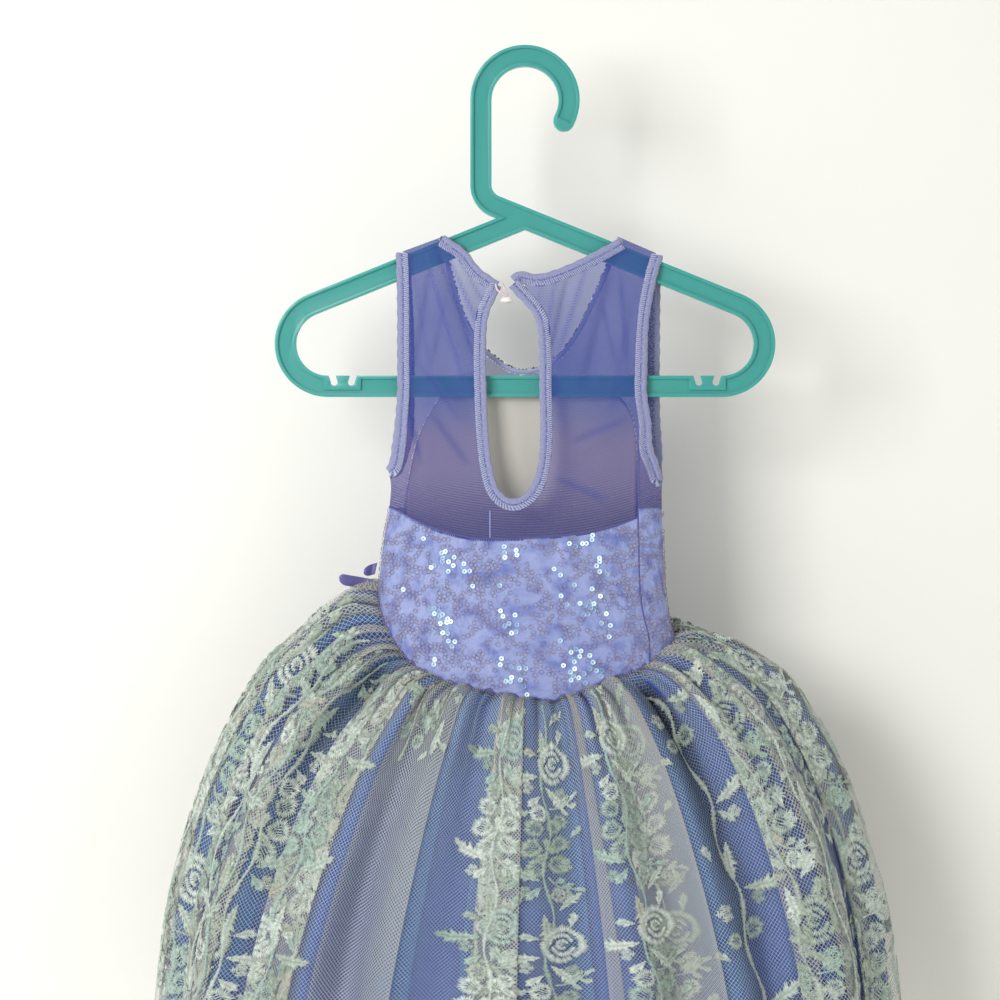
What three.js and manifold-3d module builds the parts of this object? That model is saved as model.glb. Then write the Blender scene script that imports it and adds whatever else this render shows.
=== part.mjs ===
// A small child's dance costume on a moulded plastic hanger. Millimetres, +Z up.
// The origin is the point inside the top of the hanger's hook where a rail or peg bears.
// The back of the costume, with its keyhole opening, faces -Y and its front faces +Y.
// Left and right are those of someone looking at the back: left is -X, right is +X.

import * as THREE from "three";
import { mergeVertices } from "three/addons/utils/BufferGeometryUtils.js";
import Module from "manifold-3d";

const wasm = await Module();
wasm.setup();

// ---------------------------------------------------------------- driving dimensions

// Gap left between pieces that are sewn together.
const SEAM_GAP = 0.3;

// Hanger: a flat bar bent to a hook, two arms with round ends and a trouser bar.
const HANGER = {
  halfSpan: 165,
  halfWidth: 7,
  thickness: 6.4,
  rib: 2.2,
  recess: 1.7,
  armSlope: 22 * Math.PI / 180,
  apexZ: -100.2,
  barZ: -211,
  hookRadius: 29.1,
  hookTipAngle: -28 * Math.PI / 180,
  stemBendRadius: 15,
  neckLength: 26,
};
// Two strap notches near each end of the bar, cut down from its upper edge.
const NOTCH = { inner: 113, outer: 127.5, width: 4.8, depth: 6.6, lean: 1.6 };

// Hollow form of the bodice: one row for each level, widths to the left and right side
// and depths to the back and front. Above the underarm the sides lie outside the armholes.
const BODICE = [
  { z: -90, left: -104, right: 104, back: 7.6, front: 7.6 },
  { z: -160, left: -104, right: 104, back: 8.4, front: 8.4 },
  { z: -211, left: -104, right: 104, back: 9.6, front: 9.6 },
  { z: -236, left: -101.5, right: 102.5, back: 10.6, front: 10.6 },
  { z: -262, left: -91.6, right: 93, back: 12, front: 12 },
  { z: -275, left: -88.6, right: 90.4, back: 12.8, front: 12.8 },
  { z: -291, left: -89.6, right: 90.4, back: 13.8, front: 13.6 },
  { z: -312, left: -93.1, right: 91.1, back: 15.6, front: 15 },
  { z: -345, left: -96.4, right: 92.4, back: 18.5, front: 17.5 },
  { z: -362, left: -94.6, right: 94.8, back: 20, front: 18.5 },
  { z: -378, left: -91.4, right: 98.4, back: 21.5, front: 19.5 },
  { z: -420, left: -91.4, right: 98.4, back: 24, front: 21 },
];
// Exponent of the bodice's section, a little squarer than an ellipse.
const SQUARENESS = 2.4;
// Height over which the cloth rounds over the hanger's arms at the shoulders.
const SHOULDER_ROLL = 6;
// Above this level the bindings are parted by the shoulder seams.
const UNDERARM_Z = -200;
const SHOULDER_LEFT = { x: -84.7, z: -123.4, slope: 0.373 };
const SHOULDER_RIGHT = { x: 61.1, z: -112, slope: -0.432 };

const MESH_WALL = 1.1;
const BINDING_WALL = 2;
const BINDING_WIDTH = 8;
const SEQUIN_WALL = 1.3;
const LINING_WALL = 1;
// Lower edge of the front's lining, inside the sequin bodice.
const LINING_FOOT_Z = -336;

// Back neckline, from beyond the left shoulder to the closure and on to the right shoulder.
const BACK_NECK_LEFT = [
  { x: -63, z: -104 },
  { x: -51.5, z: -113.2 },
  { x: -38.9, z: -122.4 },
  { x: -29.7, z: -134 },
  { x: -17, z: -142.9 },
];
const BACK_NECK_RIGHT = [
  { x: -9.6, z: -139.6 },
  { x: -3.6, z: -135.8 },
  { x: 9.9, z: -137.6 },
  { x: 29.7, z: -131 },
  { x: 54.8, z: -118.2 },
  { x: 72, z: -107.5 },
];
// Level where the two neck edges meet the keyhole, under the closure.
const CLOSURE_Z = -152;
// The cloth of the keyhole is cut away up to this level, above the closure.
const KEYHOLE_TOP_Z = -140;
// Free edge of the keyhole, down its left side and up its right.
const KEYHOLE = [
  { x: -18.6, z: -151.4 },
  { x: -24.6, z: -166 },
  { x: -26, z: -188 },
  { x: -25.6, z: -213 },
  { x: -24.4, z: -240 },
  { x: -22.2, z: -262 },
  { x: -17.4, z: -279 },
  { x: -7.9, z: -285.4 },
  { x: 2.4, z: -279.4 },
  { x: 8.4, z: -264 },
  { x: 10.2, z: -240 },
  { x: 9.6, z: -213 },
  { x: 9.4, z: -185 },
  { x: 6.4, z: -166 },
  { x: -5.6, z: -151.4 },
];
// Front neckline, one scoop from shoulder to shoulder.
const FRONT_NECK = [
  { x: -56.5, z: -100 },
  { x: -52.4, z: -118 },
  { x: -46.5, z: -143 },
  { x: -38.2, z: -168 },
  { x: -24, z: -187.4 },
  { x: -4, z: -199.6 },
  { x: 17, z: -194 },
  { x: 33, z: -176 },
  { x: 46, z: -150 },
  { x: 57, z: -124 },
  { x: 64, z: -103 },
];
const FRONT_BINDING_WIDTH = 4;
const TRIM_WIDTH = 2.6;
const TRIM_WALL = 2.4;

// Armhole edges. "in" is how far the edge lies inside the bodice's side on that level.
const ARMHOLE_LEFT = [
  { side: "back", z: -108, in: 18.6 },
  { side: "back", z: -123.6, in: 19.2 },
  { side: "back", z: -140, in: 19.8 },
  { side: "back", z: -180, in: 20.2 },
  { side: "back", z: -215, in: 20 },
  { side: "back", z: -236, in: 16 },
  { side: "back", z: -252, in: 8 },
  { side: "back", z: -262, in: 2 },
  { side: "front", z: -263, in: 2 },
  { side: "front", z: -252, in: 10 },
  { side: "front", z: -236, in: 20 },
  { side: "front", z: -215, in: 23 },
  { side: "front", z: -180, in: 23 },
  { side: "front", z: -140, in: 21 },
  { side: "front", z: -123.6, in: 19.2 },
  { side: "front", z: -108, in: 18.6 },
];
const ARMHOLE_RIGHT = [
  { side: "back", z: -108, in: 9.6 },
  { side: "back", z: -125.6, in: 13.4 },
  { side: "back", z: -140, in: 17.6 },
  { side: "back", z: -167, in: 22.6 },
  { side: "back", z: -195, in: 24 },
  { side: "back", z: -220, in: 23.6 },
  { side: "back", z: -246, in: 16.2 },
  { side: "back", z: -262, in: 5.4 },
  { side: "back", z: -270.4, in: 0.8 },
  { side: "front", z: -269, in: 1 },
  { side: "front", z: -256, in: 4.5 },
  { side: "front", z: -236, in: 13 },
  { side: "front", z: -215, in: 15 },
  { side: "front", z: -180, in: 15 },
  { side: "front", z: -140, in: 14.4 },
  { side: "front", z: -125.6, in: 13.4 },
  { side: "front", z: -108, in: 12.6 },
];

// Seam between the back yoke and the sequin band, and the short seam under the keyhole.
const YOKE_SEAM = [
  { x: -120, z: -283 },
  { x: -89.4, z: -290.7 },
  { x: -66, z: -302 },
  { x: -42.9, z: -309.2 },
  { x: -25, z: -311.5 },
  { x: 9.9, z: -310.5 },
  { x: 36.3, z: -307.9 },
  { x: 56.1, z: -303.9 },
  { x: 75, z: -297 },
];
const FRONT_SEAM_Z = -291;
const BACK_SEAM_X = -23;

// Opaque front bodice: the bib that rises from the waist between the mesh sides.
const BIB_TOP_Z = -208;
// Spare cloth above the bib's top before it is cut to its outline.
const BIB_SPARE = 4;
const BIB = [
  { x: -80, z: -289 },
  { x: -77, z: -272 },
  { x: -71, z: -246 },
  { x: -60, z: -224 },
  { x: -44, z: BIB_TOP_Z },
  { x: -4, z: BIB_TOP_Z - 3 },
  { x: 40, z: BIB_TOP_Z },
  { x: 66, z: -221 },
  { x: 73.5, z: -246 },
  { x: 75, z: -289 },
];

// Waist seam all round, turn in degrees: 0 centre back, 90 right side, 180 centre front.
const WAIST = [
  { turn: -180, z: -350 },
  { turn: -130, z: -341 },
  { turn: -100, z: -346 },
  { turn: -84, z: -362 },
  { turn: -68, z: -380 },
  { turn: -52, z: -393 },
  { turn: -36, z: -402.5 },
  { turn: -20, z: -408.4 },
  { turn: -6, z: -413 },
  { turn: 4, z: -416.6 },
  { turn: 15, z: -411.5 },
  { turn: 30, z: -402.5 },
  { turn: 46, z: -396 },
  { turn: 62, z: -386.5 },
  { turn: 84, z: -379 },
  { turn: 102, z: -375 },
  { turn: 130, z: -366 },
  { turn: 180, z: -350 },
];
// Turns of the two side seams of the sequin cloth.
const RIGHT_SEAM_TURN = 52;
const LEFT_SEAM_TURN = -104;

// Skirt: hem size and the way each side runs out and down from the waist to the hem.
const HEM = { z: -640, left: -236, right: 238, back: 102, front: 82 };
const SKIRT_RUN = [
  { run: 0, sideOut: 0, leftDown: 0, rightDown: 0, backOut: 0, backDown: 0 },
  { run: 0.07, sideOut: 0.15, leftDown: 0, rightDown: 0, backOut: 0.13, backDown: 0.035 },
  { run: 0.17, sideOut: 0.33, leftDown: 0.065, rightDown: 0.03, backOut: 0.25, backDown: 0.13 },
  { run: 0.3, sideOut: 0.53, leftDown: 0.155, rightDown: 0.11, backOut: 0.4, backDown: 0.27 },
  { run: 0.5, sideOut: 0.76, leftDown: 0.38, rightDown: 0.33, backOut: 0.6, backDown: 0.48 },
  { run: 0.75, sideOut: 0.93, leftDown: 0.68, rightDown: 0.65, backOut: 0.82, backDown: 0.74 },
  { run: 1, sideOut: 1, leftDown: 1, rightDown: 1, backOut: 1, backDown: 1 },
];
// Main folds: how far each stands out at the hem, at its share of the width across the back.
const BACK_FOLDS = [
  { across: -0.97, out: -8 },
  { across: -0.87, out: 12 },
  { across: -0.76, out: -8 },
  { across: -0.63, out: 12 },
  { across: -0.53, out: -13 },
  { across: -0.4, out: 13 },
  { across: -0.21, out: -9 },
  { across: -0.04, out: 9 },
  { across: 0.16, out: -9 },
  { across: 0.31, out: 13 },
  { across: 0.46, out: -11 },
  { across: 0.6, out: 11 },
  { across: 0.73, out: -9 },
  { across: 0.86, out: 12 },
  { across: 0.96, out: -8 },
];
// The front has like folds, evenly spread with uneven depths.
const FRONT_FOLD_COUNT = 13;
const FRONT_FOLD_OUT = [10, 9, 13, 11, 8, 12, 9];
// The folds grow from the waist to the hem as this power of the run.
const FOLD_GROWTH = 0.6;
const FOLD_STEPS = 2;

// The lace is a back and a front panel with a seam at each side.
const LACE_PANELS = [
  { name: "skirt_lace_back", from: 270, to: 90 },
  { name: "skirt_lace_front", from: 90, to: 270 },
];
const SKIRT_LAYERS = [
  { colour: "#a3b0ac", wall: 1.3, under: 0, underHem: 0, end: 1, panels: LACE_PANELS },
  { name: "skirt_tulle_blue", colour: "#5f72a8", wall: 1, under: 1.8, underHem: 6.5, end: 0.97 },
  { name: "skirt_tulle_violet", colour: "#4b54a0", wall: 1, under: 3.3, underHem: 13, end: 0.945 },
];

// Pearl button and the clear elastic loop that holds it.
const BUTTON = { x: -12.2, y: -11.6, z: -155.2, radius: 4.1, height: 4.4 };
const LOOP = { radius: 0.55, gap: 2.2, topX: -17.2, topZ: -144 };

// Two ends of the violet waist ribbon that stand out at the left side.
const RIBBON_WALL = 1.4;
const RIBBON_ENDS = [
  { name: "waist_ribbon_upper", x: -98.6, z: -331.5, y: 8, length: 8, width: 6, tilt: 40 },
  { name: "waist_ribbon_lower", x: -100.4, z: -338.5, y: 13, length: 22, width: 7, tilt: 10 },
];

const COLOURS = {
  hanger: "#4aa79c",
  mesh: "#6a76ab",
  binding: "#9a9bd0",
  sequin: "#8f9ace",
  lining: "#b9b6b0",
  trim: "#8d8f92",
  pearl: "#ece6e2",
  elastic: "#d8c4cc",
  ribbon: "#6f68a8",
};

// ---------------------------------------------------------------- small tools

// Corners of cutting shapes lie this far out, well clear of the costume.
const FAR_X = 130;
const FAR_Y = 60;
const FAR_BELOW = -400;
// A cut through one face reaches this far past the middle, inside the hollow form.
const PAST_MIDDLE = 5;

const group = new THREE.Group();

function add(name, geometry, colour, roughness = 0.85) {
  const material = new THREE.MeshStandardMaterial({ color: colour, roughness, metalness: 0 });
  const mesh = new THREE.Mesh(geometry, material);
  mesh.name = name;
  group.add(mesh);
}

// Value of a table's column between its rows: a cubic whose slope at a row is that of
// the chord between the rows on either side.
function tableValue(rows, key, column, at) {
  const sign = rows[0][key] < rows[rows.length - 1][key] ? 1 : -1;
  let i = 0;
  while (i < rows.length - 2 && sign * (at - rows[i + 1][key]) > 0) i += 1;
  const span = rows[i + 1][key] - rows[i][key];
  const t = THREE.MathUtils.clamp((at - rows[i][key]) / span, 0, 1);
  const before = rows[Math.max(i - 1, 0)];
  const after = rows[Math.min(i + 2, rows.length - 1)];
  const slopeIn = (rows[i + 1][column] - before[column]) / (rows[i + 1][key] - before[key]);
  const slopeOut = (after[column] - rows[i][column]) / (after[key] - rows[i][key]);
  const a = rows[i][column];
  const b = rows[i + 1][column];
  const rise = b - a;
  const curve = (1 - t) * (slopeIn * span - rise) + t * (rise - slopeOut * span);
  return a + t * rise + t * (1 - t) * curve;
}

// Smooth plan curve through the rows of an x, z table, as count + 1 points.
function smoothEdge(rows, count) {
  const curve = new THREE.SplineCurve(rows.map((row) => new THREE.Vector2(row.x, row.z)));
  return curve.getPoints(count);
}

// The same line moved sideways by a distance, to the left of its direction of travel.
function besideLine(points, distance) {
  return points.map((point, i) => {
    const before = points[Math.max(i - 1, 0)];
    const after = points[Math.min(i + 1, points.length - 1)];
    const along = after.clone().sub(before).normalize();
    return new THREE.Vector2(point.x - along.y * distance, point.y + along.x * distance);
  });
}

// Upright prism: an x, z outline carried along Y between two depths.
const ARC_STEPS = 15;
function prism(points, fromY, toY) {
  const options = { depth: toY - fromY, bevelEnabled: false, curveSegments: ARC_STEPS };
  const shape = points instanceof THREE.Shape ? points : new THREE.Shape(points);
  const geometry = new THREE.ExtrudeGeometry(shape, options);
  geometry.rotateX(Math.PI / 2);
  geometry.translate(0, toY, 0);
  return geometry;
}

function solid(geometry) {
  const bare = new THREE.BufferGeometry();
  bare.setAttribute("position", geometry.getAttribute("position"));
  if (geometry.index) bare.setIndex(geometry.index);
  const merged = mergeVertices(bare, 1e-4);
  const vertProperties = new Float32Array(merged.getAttribute("position").array);
  const triVerts = new Uint32Array(merged.index.array);
  return new wasm.Manifold(new wasm.Mesh({ numProp: 3, vertProperties, triVerts }));
}

// The main piece of a cut body, without the offcuts that a cut leaves past its edge.
function withoutOffcuts(body) {
  const pieces = body.decompose();
  return pieces.reduce((best, piece) => (piece.volume() > best.volume() ? piece : best));
}

// Points of a cut body closer together than this are one point.
const SAME_POINT = 0.002;

// Geometry of a cut body, without the edges too short to matter that a cut can leave.
function geometryOf(body) {
  const mesh = body.getMesh();
  const cut = new THREE.BufferGeometry();
  cut.setAttribute("position", new THREE.BufferAttribute(mesh.vertProperties, 3));
  cut.setIndex(new THREE.BufferAttribute(mesh.triVerts, 1));
  const geometry = mergeVertices(cut, SAME_POINT);
  const corners = Array.from(geometry.index.array);
  const kept = [];
  for (let i = 0; i < corners.length; i += 3) {
    const [a, b, c] = corners.slice(i, i + 3);
    if (a !== b && b !== c && c !== a) kept.push(a, b, c);
  }
  geometry.setIndex(kept);
  geometry.computeVertexNormals();
  return geometry;
}

// Outer and inner points of a wall on a grid of points, grid[i][j]: the points are moved out
// along the grid's normals by "lift", and in again by "thickness". A ring closes on itself.
function wallSkins(grid, { lift = 0, thickness, ring = false }) {
  const columns = grid.length;
  const rows = grid[0].length;
  const liftAt = typeof lift === "function" ? lift : () => lift;
  const at = (i, j) => {
    const column = ring ? (i + columns) % columns : THREE.MathUtils.clamp(i, 0, columns - 1);
    return grid[column][THREE.MathUtils.clamp(j, 0, rows - 1)];
  };
  let outward = 0;
  const normals = grid.map((column, i) => column.map((point, j) => {
    const across = at(i + 1, j).clone().sub(at(i - 1, j));
    const along = at(i, j + 1).clone().sub(at(i, j - 1));
    const normal = across.cross(along).normalize();
    outward += normal.x * point.x / 10 + normal.y * point.y;
    return normal;
  }));
  const sign = outward < 0 ? -1 : 1;
  return grid.map((column, i) => column.map((point, j) => {
    const out = sign * liftAt(j / (rows - 1));
    return {
      outer: point.clone().addScaledVector(normals[i][j], out),
      inner: point.clone().addScaledVector(normals[i][j], out - sign * thickness),
    };
  }));
}

// Columns of a ring from one number to another, with its ends pulled in by half a seam gap.
function panelOf(skins, from, to) {
  const panel = spread(from, to, to - from).map((i) => skins[i % skins.length]);
  const pulled = (end, next) => end.map((pair, j) => {
    const share = SEAM_GAP / 2 / pair.outer.distanceTo(next[j].outer);
    return {
      outer: pair.outer.clone().lerp(next[j].outer, share),
      inner: pair.inner.clone().lerp(next[j].inner, share),
    };
  });
  return [pulled(panel[0], panel[1]), ...panel.slice(1, -1), pulled(panel.at(-1), panel.at(-2))];
}

// Closed geometry of a wall's outer and inner points.
function wallOf(skins, ring = false) {
  const columns = skins.length;
  const rows = skins[0].length;
  const positions = ["outer", "inner"].flatMap((side) =>
    skins.flatMap((column) => column.flatMap((pair) => pair[side].toArray())));
  const index = [];
  const id = (i, j, side) => side * columns * rows + (i % columns) * rows + j;
  const quad = (a, b, c, d) => index.push(a, b, c, a, c, d);
  const lastColumn = ring ? columns : columns - 1;
  for (let i = 0; i < lastColumn; i += 1) {
    for (let j = 0; j < rows - 1; j += 1) {
      quad(id(i, j, 0), id(i + 1, j, 0), id(i + 1, j + 1, 0), id(i, j + 1, 0));
      quad(id(i, j, 1), id(i, j + 1, 1), id(i + 1, j + 1, 1), id(i + 1, j, 1));
    }
    quad(id(i, 0, 0), id(i, 0, 1), id(i + 1, 0, 1), id(i + 1, 0, 0));
    quad(id(i, rows - 1, 0), id(i + 1, rows - 1, 0), id(i + 1, rows - 1, 1), id(i, rows - 1, 1));
  }
  if (!ring) {
    const last = columns - 1;
    for (let j = 0; j < rows - 1; j += 1) {
      quad(id(0, j, 0), id(0, j + 1, 0), id(0, j + 1, 1), id(0, j, 1));
      quad(id(last, j, 0), id(last, j, 1), id(last, j + 1, 1), id(last, j + 1, 0));
    }
  }
  const geometry = new THREE.BufferGeometry();
  geometry.setAttribute("position", new THREE.Float32BufferAttribute(positions, 3));
  geometry.setIndex(index);
  if (signedVolume(geometry) < 0) geometry.setIndex(index.reverse());
  geometry.computeVertexNormals();
  return geometry;
}

// Volume inside a closed geometry, negative where its faces point inwards.
function signedVolume(geometry) {
  const position = geometry.getAttribute("position");
  const corners = geometry.index.array;
  const corner = (i) => new THREE.Vector3().fromBufferAttribute(position, corners[i]);
  let volume = 0;
  for (let i = 0; i < corners.length; i += 3) {
    volume += corner(i).dot(corner(i + 1).cross(corner(i + 2))) / 6;
  }
  return volume;
}

const wall = (grid, options) => wallOf(wallSkins(grid, options), options.ring);

const spread = (from, to, count) =>
  Array.from({ length: count + 1 }, (_, i) => from + (to - from) * i / count);
const corner = (x, z) => new THREE.Vector2(x, z);
const degrees = (angle) => angle * Math.PI / 180;
const signedPower = (value, power) => Math.sign(value) * Math.abs(value) ** power;

// ---------------------------------------------------------------- form of the bodice

function bodiceLevel(z) {
  const value = (column) => tableValue(BODICE, "z", column, z);
  const left = value("left");
  const right = value("right");
  const middle = (left + right) / 2;
  return { middle, half: (right - left) / 2, back: value("back"), front: value("front") };
}

// Height of the shoulder line that lies over the hanger's arms.
function shoulderZ(x) {
  const onLeft = SHOULDER_LEFT.z + SHOULDER_LEFT.slope * (x - SHOULDER_LEFT.x);
  const onRight = SHOULDER_RIGHT.z + SHOULDER_RIGHT.slope * (x - SHOULDER_RIGHT.x);
  return Math.min(onLeft, onRight);
}

// Share of the depth left where the cloth rounds over to the shoulder line.
function shoulderShare(x, z) {
  const rise = (z - shoulderZ(x) + SHOULDER_ROLL) / SHOULDER_ROLL;
  return Math.cbrt(1 - THREE.MathUtils.clamp(rise, 0, 1) ** 3);
}

// Point of the bodice at a turn in degrees round it and a level.
function bodicePoint(turn, z) {
  const level = bodiceLevel(z);
  const s = Math.sin(degrees(turn));
  const c = Math.cos(degrees(turn));
  const depth = c > 0 ? level.back : level.front;
  const x = level.middle + level.half * signedPower(s, 2 / SQUARENESS);
  const y = -depth * signedPower(c, 2 / SQUARENESS) * shoulderShare(x, z);
  return new THREE.Vector3(x, y, z);
}

// Point of the bodice's back (facing -1) or front (facing 1) at an x and a level.
function bodiceAt(x, z, facing) {
  const level = bodiceLevel(z);
  const share = Math.min(Math.abs(x - level.middle) / level.half, 1);
  const depth = facing < 0 ? level.back : level.front;
  const y = facing * depth * (1 - share ** SQUARENESS) ** (1 / SQUARENESS);
  return new THREE.Vector3(x, y * shoulderShare(x, z), z);
}

// Turns that spread the columns of a panel, closer together where the side rounds.
const turnOf = (share) => Math.asin(signedPower(share, SQUARENESS / 2)) * 180 / Math.PI;
const PANEL_SHARES = [0.3, 0.6, 0.8, 0.92, 0.985];
const LOW_LEVELS = [-322, -291, -272, -256, -240, -222];
const HIGH_SHARES = [0.5, 1];
const ROLL_SHARES = [0.55, 0.84, 0.97, 1];

// The whole back (facing -1) or front (facing 1) from under the yoke up over the shoulder.
function panelGrid(facing) {
  const turns = [
    -90,
    ...PANEL_SHARES.map((share) => -turnOf(share)).reverse(),
    0,
    ...PANEL_SHARES.map(turnOf),
    90,
  ];
  return turns.map((turn) => {
    const around = facing < 0 ? turn : 180 - turn;
    const low = LOW_LEVELS.map((z) => bodicePoint(around, z));
    const top = low[low.length - 1];
    const rollZ = shoulderZ(top.x) - SHOULDER_ROLL;
    const high = HIGH_SHARES.map((share) => bodicePoint(around, top.z + share * (rollZ - top.z)));
    const roll = ROLL_SHARES.map((share) => bodicePoint(around, rollZ + share * SHOULDER_ROLL));
    return [...low, ...high, ...roll];
  });
}

// ---------------------------------------------------------------- armhole edges

// The armhole lies on the back and the front: "round" runs from the back (negative),
// through the side at 0, to the front, as the distance inside the bodice's side.
function armholeLine(rows, count) {
  const points = rows.map((row) => new THREE.Vector2(row.side === "back" ? -row.in : row.in, row.z));
  return new THREE.SplineCurve(points).getPoints(count);
}

function armholePoint(round, z, end) {
  const level = bodiceLevel(z);
  const x = level.middle + end * (level.half - Math.abs(round));
  return bodiceAt(x, z, round < 0 ? -1 : 1);
}

// Cut-out of one armhole from the back or the front, outside the given line.
function armholeCutter(line, end, facing) {
  const onFace = line.filter((point) => point.x * facing > -1e-6);
  const edge = onFace.map((point) => {
    const at = armholePoint(point.x, point.y, end);
    return new THREE.Vector2(at.x, at.z);
  });
  if (facing > 0) edge.reverse();
  const bottom = edge[edge.length - 1].y;
  const beyond = end * FAR_X;
  const topX = edge[0].x;
  const outline = [
    new THREE.Vector2(topX, 0),
    ...edge,
    new THREE.Vector2(beyond, bottom),
    new THREE.Vector2(beyond, 0),
  ];
  const fromY = facing < 0 ? -FAR_Y : -0.01;
  return solid(prism(outline, fromY, fromY + FAR_Y));
}

// ---------------------------------------------------------------- hanger

// Closed outline of arms, round ends and bar, moved out from its centre line.
function hangerOutline(offset) {
  const slope = HANGER.armSlope;
  const reach = HANGER.halfSpan - HANGER.halfWidth;
  const fall = HANGER.apexZ - HANGER.barZ - reach * Math.tan(slope);
  const radius = fall / (1 + 1 / Math.cos(slope) - Math.tan(slope));
  const centreX = reach - radius;
  const centreZ = HANGER.barZ + radius;
  const shape = new THREE.Shape();
  shape.moveTo(0, HANGER.barZ - offset);
  shape.lineTo(centreX, HANGER.barZ - offset);
  shape.absarc(centreX, centreZ, radius + offset, -Math.PI / 2, Math.PI / 2 - slope, false);
  shape.lineTo(0, HANGER.apexZ + offset / Math.cos(slope));
  shape.absarc(-centreX, centreZ, radius + offset, Math.PI / 2 + slope, 1.5 * Math.PI, false);
  shape.closePath();
  return shape;
}

// Outline of the hook, its stem and the bend that leads the stem into the right arm.
function hookOutline(halfWidth, endCap) {
  const radius = HANGER.hookRadius;
  const centreZ = -(radius - HANGER.halfWidth);
  const bend = HANGER.stemBendRadius;
  const slope = HANGER.armSlope;
  const bendX = bend - radius;
  const bendZ = HANGER.apexZ - bendX * Math.tan(slope) + bend / Math.cos(slope);
  const tip = HANGER.hookTipAngle;
  const exit = 1.5 * Math.PI - slope;
  const shape = new THREE.Shape();
  const outer = radius + halfWidth;
  const inner = radius - halfWidth;
  shape.absarc(0, centreZ, outer, tip, Math.PI, false);
  shape.absarc(bendX, bendZ, bend + halfWidth, Math.PI, exit, false);
  for (const reach of [bend + halfWidth, bend - halfWidth]) {
    const x = bendX + reach * Math.cos(exit) + HANGER.neckLength * Math.cos(slope);
    const z = bendZ + reach * Math.sin(exit) - HANGER.neckLength * Math.sin(slope);
    shape.lineTo(x, z);
  }
  shape.absarc(bendX, bendZ, bend - halfWidth, exit, Math.PI, true);
  shape.absarc(0, centreZ, inner, Math.PI, tip, true);
  const tipX = radius * Math.cos(tip);
  const tipZ = centreZ + radius * Math.sin(tip);
  if (endCap) shape.absarc(tipX, tipZ, halfWidth, tip + Math.PI, tip + 2 * Math.PI, false);
  shape.closePath();
  return shape;
}

function hangerSolid() {
  const half = HANGER.thickness / 2;
  const frame = hangerOutline(HANGER.halfWidth);
  frame.holes.push(hangerOutline(-HANGER.halfWidth));
  let body = solid(prism(frame, -half, half));
  body = body.add(solid(prism(hookOutline(HANGER.halfWidth, true), -half, half)));
  const floorHalf = half - HANGER.recess;
  const channelHalf = HANGER.halfWidth - HANGER.rib;
  const ring = hangerOutline(channelHalf);
  ring.holes.push(hangerOutline(-channelHalf));
  const hookChannel = hookOutline(channelHalf, false);
  for (const [fromY, toY] of [[-half - 1, -floorHalf], [floorHalf, half + 1]]) {
    let channel = solid(prism(ring, fromY, toY));
    channel = channel.add(solid(prism(hookChannel, fromY, toY)));
    for (const end of [-1, 1]) {
      channel = channel.subtract(solid(notchPad(end, fromY - 1, toY + 1)));
    }
    body = body.subtract(channel);
  }
  for (const end of [-1, 1]) {
    body = body.subtract(solid(notch(end, NOTCH.inner, NOTCH.lean)));
    body = body.subtract(solid(notch(end, NOTCH.outer, -NOTCH.lean)));
  }
  return geometryOf(body);
}

// Full-thickness pad of the bar around a pair of notches.
function notchPad(end, fromY, toY) {
  const near = end * (NOTCH.inner - NOTCH.width);
  const far = end * (NOTCH.outer + NOTCH.width);
  const top = HANGER.barZ + HANGER.halfWidth + 2;
  const bottom = HANGER.barZ - 2.4;
  const corners = [[near, bottom], [far, bottom], [far, top], [near, top]];
  return prism(corners.map(([x, z]) => new THREE.Vector2(x, z)), fromY, toY);
}

// One strap notch: a slot with a round floor, leaning towards its neighbour.
function notch(end, at, lean) {
  const top = HANGER.barZ + HANGER.halfWidth;
  const radius = NOTCH.width / 2;
  const floorZ = top - NOTCH.depth + radius;
  const shape = new THREE.Shape();
  const floorX = end * (at + lean);
  shape.absarc(floorX, floorZ, radius, Math.PI, 2 * Math.PI, false);
  shape.lineTo(end * at + radius, top + 1);
  shape.lineTo(end * at - radius, top + 1);
  shape.closePath();
  return prism(shape, -HANGER.thickness, HANGER.thickness);
}

add("hanger", hangerSolid(), COLOURS.hanger, 0.3);

// ---------------------------------------------------------------- strips along an edge

// Part of a line below the shoulder line, its ends exactly on that line.
function belowShoulder(line, xOf) {
  const over = (point) => point.y - shoulderZ(xOf(point));
  const kept = [];
  for (let i = 0; i < line.length; i += 1) {
    const previous = line[i - 1];
    if (previous && over(previous) * over(line[i]) < 0) {
      const share = over(previous) / (over(previous) - over(line[i]));
      kept.push(previous.clone().lerp(line[i], share));
    }
    if (over(line[i]) <= 0) kept.push(line[i].clone());
  }
  return kept;
}

// Points along a line at fixed distances, closer together next to an end that rolls over
// the shoulder.
const ROLL_STEPS = [0, 0.2, 1.4, 4, 9];
function stations(line, rollStart, rollEnd, middleCount) {
  const length = line.slice(1).reduce((sum, point, i) => sum + point.distanceTo(line[i]), 0);
  const first = rollStart ? ROLL_STEPS : [0];
  const last = (rollEnd ? ROLL_STEPS : [0]).map((step) => length - step).reverse();
  const inner = spread(first[first.length - 1], last[0], middleCount).slice(1, -1);
  return [...first, ...inner, ...last].map((distance) => pointAt(line, distance));
}

function pointAt(line, distance) {
  let left = distance;
  for (let i = 0; i < line.length - 1; i += 1) {
    const step = line[i].distanceTo(line[i + 1]);
    if (left <= step || i === line.length - 2) {
      return line[i].clone().lerp(line[i + 1], Math.min(left / step, 1));
    }
    left -= step;
  }
  return line[line.length - 1].clone();
}

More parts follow.
